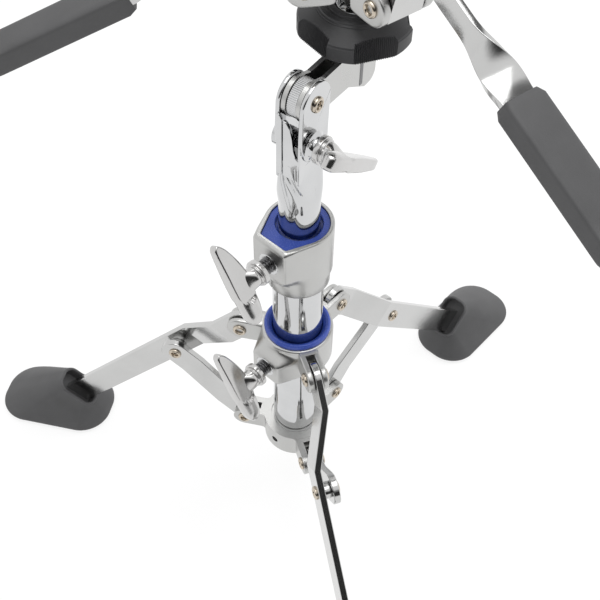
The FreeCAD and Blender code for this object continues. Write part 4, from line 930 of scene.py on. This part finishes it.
# Hand wheel: black moulding with five ribbed grip flats that lean inwards, a cone with a stepped
# ring on top, and a chromed threaded insert in its middle.
knob_plastic = rubber("black_plastic", colour=(0.027, 0.027, 0.029), rough=0.48, grain=2600.0, bump=0.10)
wheel_radius = 24.0
wheel_hole = 8.7
wheel_steps = [*rod_steps, move(0, 0, 303.0)]
flat_half = math.radians(22.5)
flat_pitch = math.radians(72.0)
first_flat = math.radians(17.75)
flat_distance = 22.15
flat_lean = 0.23
flat_least = 16.5
rib_count = 20
rib_height = 0.6
rib_root = 0.25


def wheel(count=1440):
    """Rows of the turned profile from the hole under the wheel out, up the rim, over the cone and back
    down the hole. Five leaning planes cut it within their width: there the radius is the plane's
    distance over the cosine of the angle from its middle, with ribs as a wave across the flat."""
    below = softened([(wheel_hole, 0.0), (20.0, 0.0), (23.6, 0.0), (wheel_radius, 0.5)], 0.3, 3)
    rim = np.linspace((wheel_radius, 0.6), (wheel_radius, 6.3), 6)
    step = [(23.75, 6.5), (23.6, 6.7), (23.55, 7.0)]
    cone = np.linspace((23.4, 7.25), (16.6, 11.3), 28)
    hole = [(15.0, 11.4), (wheel_hole, 11.4), (wheel_hole, 0.0)]
    profile = np.concatenate((below, rim, step, cone, hole))
    radius = profile[:, :1]
    height = profile[:, 1:]
    angle = full_turn(count)
    swing = (angle - first_flat + flat_pitch / 2) % flat_pitch - flat_pitch / 2
    wave = np.abs(np.sin(swing / flat_half * rib_count * np.pi / 2))
    rib = rib_height * (1 - wave) ** 1.4 - rib_root
    flat = (flat_distance - flat_lean * height + rib) / np.cos(swing)
    cut = (np.abs(swing) < flat_half) & (radius > flat_least)
    bounded = np.where(cut, np.minimum(radius, flat), radius)
    return joined(bounded * np.cos(angle), bounded * np.sin(angle), height)


crown = softened([(10.0, 11.0), (16.4, 11.0), (16.4, 11.5), (15.5, 11.9), (15.3, 12.5), (13.4, 13.0),
                  (13.0, 12.4), (12.2, 12.5), (11.8, 13.3), (9.8, 13.5), (9.2, 12.8), (wheel_hole, 11.2),
                  (10.0, 11.0)], 0.25)
insert_profile = softened([(4.1, 0.0), (8.6, 0.0), (8.6, 12.0), (8.2, 12.6), (7.5, 12.2), (7.2, 9.0),
                           (4.1, 8.6), (4.1, 0.0)], 0.3)
cover(knob_plastic, "basket_knob")
cover(bright_chrome, "knob_insert")
piece("ribbed_wheel", "knob", knob_plastic,
      [placed(grid, wheel_steps) for grid in (wheel(), lathe(crown, 120))],
      replaces=["basket_knob"], sharp=28.0)
piece("wheel_insert", "knob", bright_chrome,
      [placed(lathe(insert_profile, 96), wheel_steps)], replaces=["knob_insert"])

# Spiders: cast hubs on the rod with three clevis lugs each. The lower one rides on the hand wheel and
# carries the links, the upper one carries the arms.
lower_pivot = 330.0
lower_reach = 22.6
lower_radius = 7.5
lower_inside = 8.6
lower_outside = 12.6
upper_pivot = 359.0
upper_reach = 15.0
upper_outside = 4.5
spokes = [[*rod_steps, turn("z", azimuth - tilter_azimuth)] for azimuth in (-71.5, 48.5, 168.5)]
spider_hub = softened([(4.1, 316.9), (5.6, 316.9), (6.1, 317.4), (6.4, 320.0), (8.8, 324.6), (10.8, 327.0),
                       (11.0, 329.2), (10.4, 329.8), (4.1, 329.8), (4.1, 316.9)], 0.4)
lower_lug = [lug_block(5.0, 14.2, (7.5, 12.5), (4.6, 7.3), lower_pivot)]
lower_lug += [lug_cheek(10.0, lower_reach, lower_pivot, lower_radius, lower_inside, lower_outside, sign)
              for sign in (-1, 1)]
lower_lugs = [placed(grid, spoke) for spoke in spokes for grid in lower_lug]
cover(satin_casting, "lower_spider", "upper_spider")
cover(rivet_nickel, "lower_spider_pins", "upper_spider_pins")
piece("lower_spider_cast", "spider", satin_casting,
      [placed(lathe(spider_hub, 96), rod_steps), *lower_lugs], replaces=["lower_spider"])
for level, body, half, reach, pivot in (
    ("lower", "spider", lower_outside, lower_reach, lower_pivot),
    ("upper", "tilter", upper_outside, upper_reach, upper_pivot),
):
    piece(f"{level}_rolled_pins", body, rivet_nickel,
          [placed(rivet(-half, half), [*spoke, move(reach, 0, pivot)]) for spoke in spokes],
          replaces=[f"{level}_spider_pins"])

# Basket arms, links and tips: each arm is a bar on edge that twists and spreads into a flat plate, a
# channel link lifts it, and a rubber tip with a lip at its end is pushed on the plate.
arm_droop = turn("y", 24.5)
arm_end = 143.0
bar_half_high = 5.0
bar_half_thick = 1.4
plate_half_wide = 7.5
plate_half_thick = 1.5
bar_corner = 0.35
arm_spread = (52.0, 77.0)
arm_twist = (48.0, 81.0)
tip_start = 80.0
tip_end = 150.0
tip_half_wide = 9.1
tip_height = 10.0
tip_lip = 12.0
link_lean = turn("y", 12.49)
link_rise = move(0, 0, 23.757)
link_inside = 6.3
link_outside = 8.3


def rounded_bar(half_wide, half_high, corner, count=48):
    """A rectangle with round corners for whole columns of sizes: each quarter of a small circle is
    moved out to its own corner."""
    angle = (np.arange(count) + 0.5) * 2.0 * np.pi / count
    y = np.sign(np.cos(angle)) * np.maximum(half_wide - corner, 0.0) + corner * np.cos(angle)
    z = np.sign(np.sin(angle)) * np.maximum(half_high - corner, 0.0) + corner * np.sin(angle)
    return y, z


def twisted_bar():
    """Rows along the bar: a half round end, an even bar on edge, then a quarter twist during which the
    bar spreads, so that its side becomes the plate's top."""
    round_end = -bar_half_high * np.cos(np.linspace(0.0, np.pi / 2, 12))
    station = np.concatenate((round_end, np.linspace(4.0, 44.0, 9), np.linspace(46.0, 82.0, 50),
                              np.linspace(84.0, arm_end, 8)))[:, None]
    spread = eased(station, *arm_spread)
    twist = np.pi / 2 * eased(station, *arm_twist)
    end_high = np.sqrt(np.maximum(bar_half_high ** 2 - station ** 2, 0.0))
    bar_high = bar_half_high + (plate_half_wide - bar_half_high) * spread
    high = np.where(station < 0, end_high, bar_high)
    thick = bar_half_thick + (plate_half_thick - bar_half_thick) * spread
    y, z = rounded_bar(thick, high, bar_corner)
    rows = joined(station, y * np.cos(twist) + z * np.sin(twist), z * np.cos(twist) - y * np.sin(twist))
    return capped(rows, (-bar_half_high, 0.0, 0.0), (arm_end, 0.0, 0.0))


def rubber_tip():
    """Rows along the tip: a chamfered mouth, an even sleeve, then a lip that stands up at the end."""
    station = np.array((0.0, 0.0, 0.4, 1.2, 2.0, 3.0, 12.0, 30.0, 50.0, 61.0, 62.6, 63.4, 64.2, 65.5,
                        68.0, 69.3, 69.9, 70.0))[:, None] + tip_start
    lip = tip_lip * eased(station, 142.0, 144.4)
    draw = np.interp(station, (tip_start, tip_start + 3.0, tip_end - 2.0, tip_end), (0.84, 1.0, 1.0, 0.9))
    draw[0] = 0.2
    y, z = superellipse(tip_half_wide * draw, (tip_height + lip) / 2 * draw, 7.0)
    return capped(joined(station, y, z + lip / 2), (tip_start, 0.0, 0.0), (tip_end, 0.0, tip_lip / 2))


for order, spoke in enumerate(spokes, start=1):
    cover(brushed_steel, f"basket_arm_{order}", f"basket_link_{order}")
    cover(rivet_nickel, f"link_rivet_{order}", f"arm_spacer_{order}")
    cover(foot_rubber, f"arm_tip_{order}")
    on_arm = [*spoke, move(upper_reach, 0, upper_pivot), arm_droop]
    on_link = [*spoke, move(lower_reach, 0, lower_pivot), link_lean, link_rise]
    piece(f"twisted_arm_{order}", f"arm_{order}", brushed_steel,
          [placed(twisted_bar(), on_arm)], replaces=[f"basket_arm_{order}"])
    piece(f"rubber_tip_{order}", f"arm_{order}", foot_rubber,
          [placed(rubber_tip(), on_arm)], replaces=[f"arm_tip_{order}"], sharp=50.0)
    link_ends = [rivet(-link_outside, -link_inside, high_head=False),
                 rivet(link_inside, link_outside, low_head=False)]
    piece(f"link_rolled_rivet_{order}", f"link_{order}", rivet_nickel,
          [placed(grid, on_link) for grid in link_ends], replaces=[f"link_rivet_{order}"])
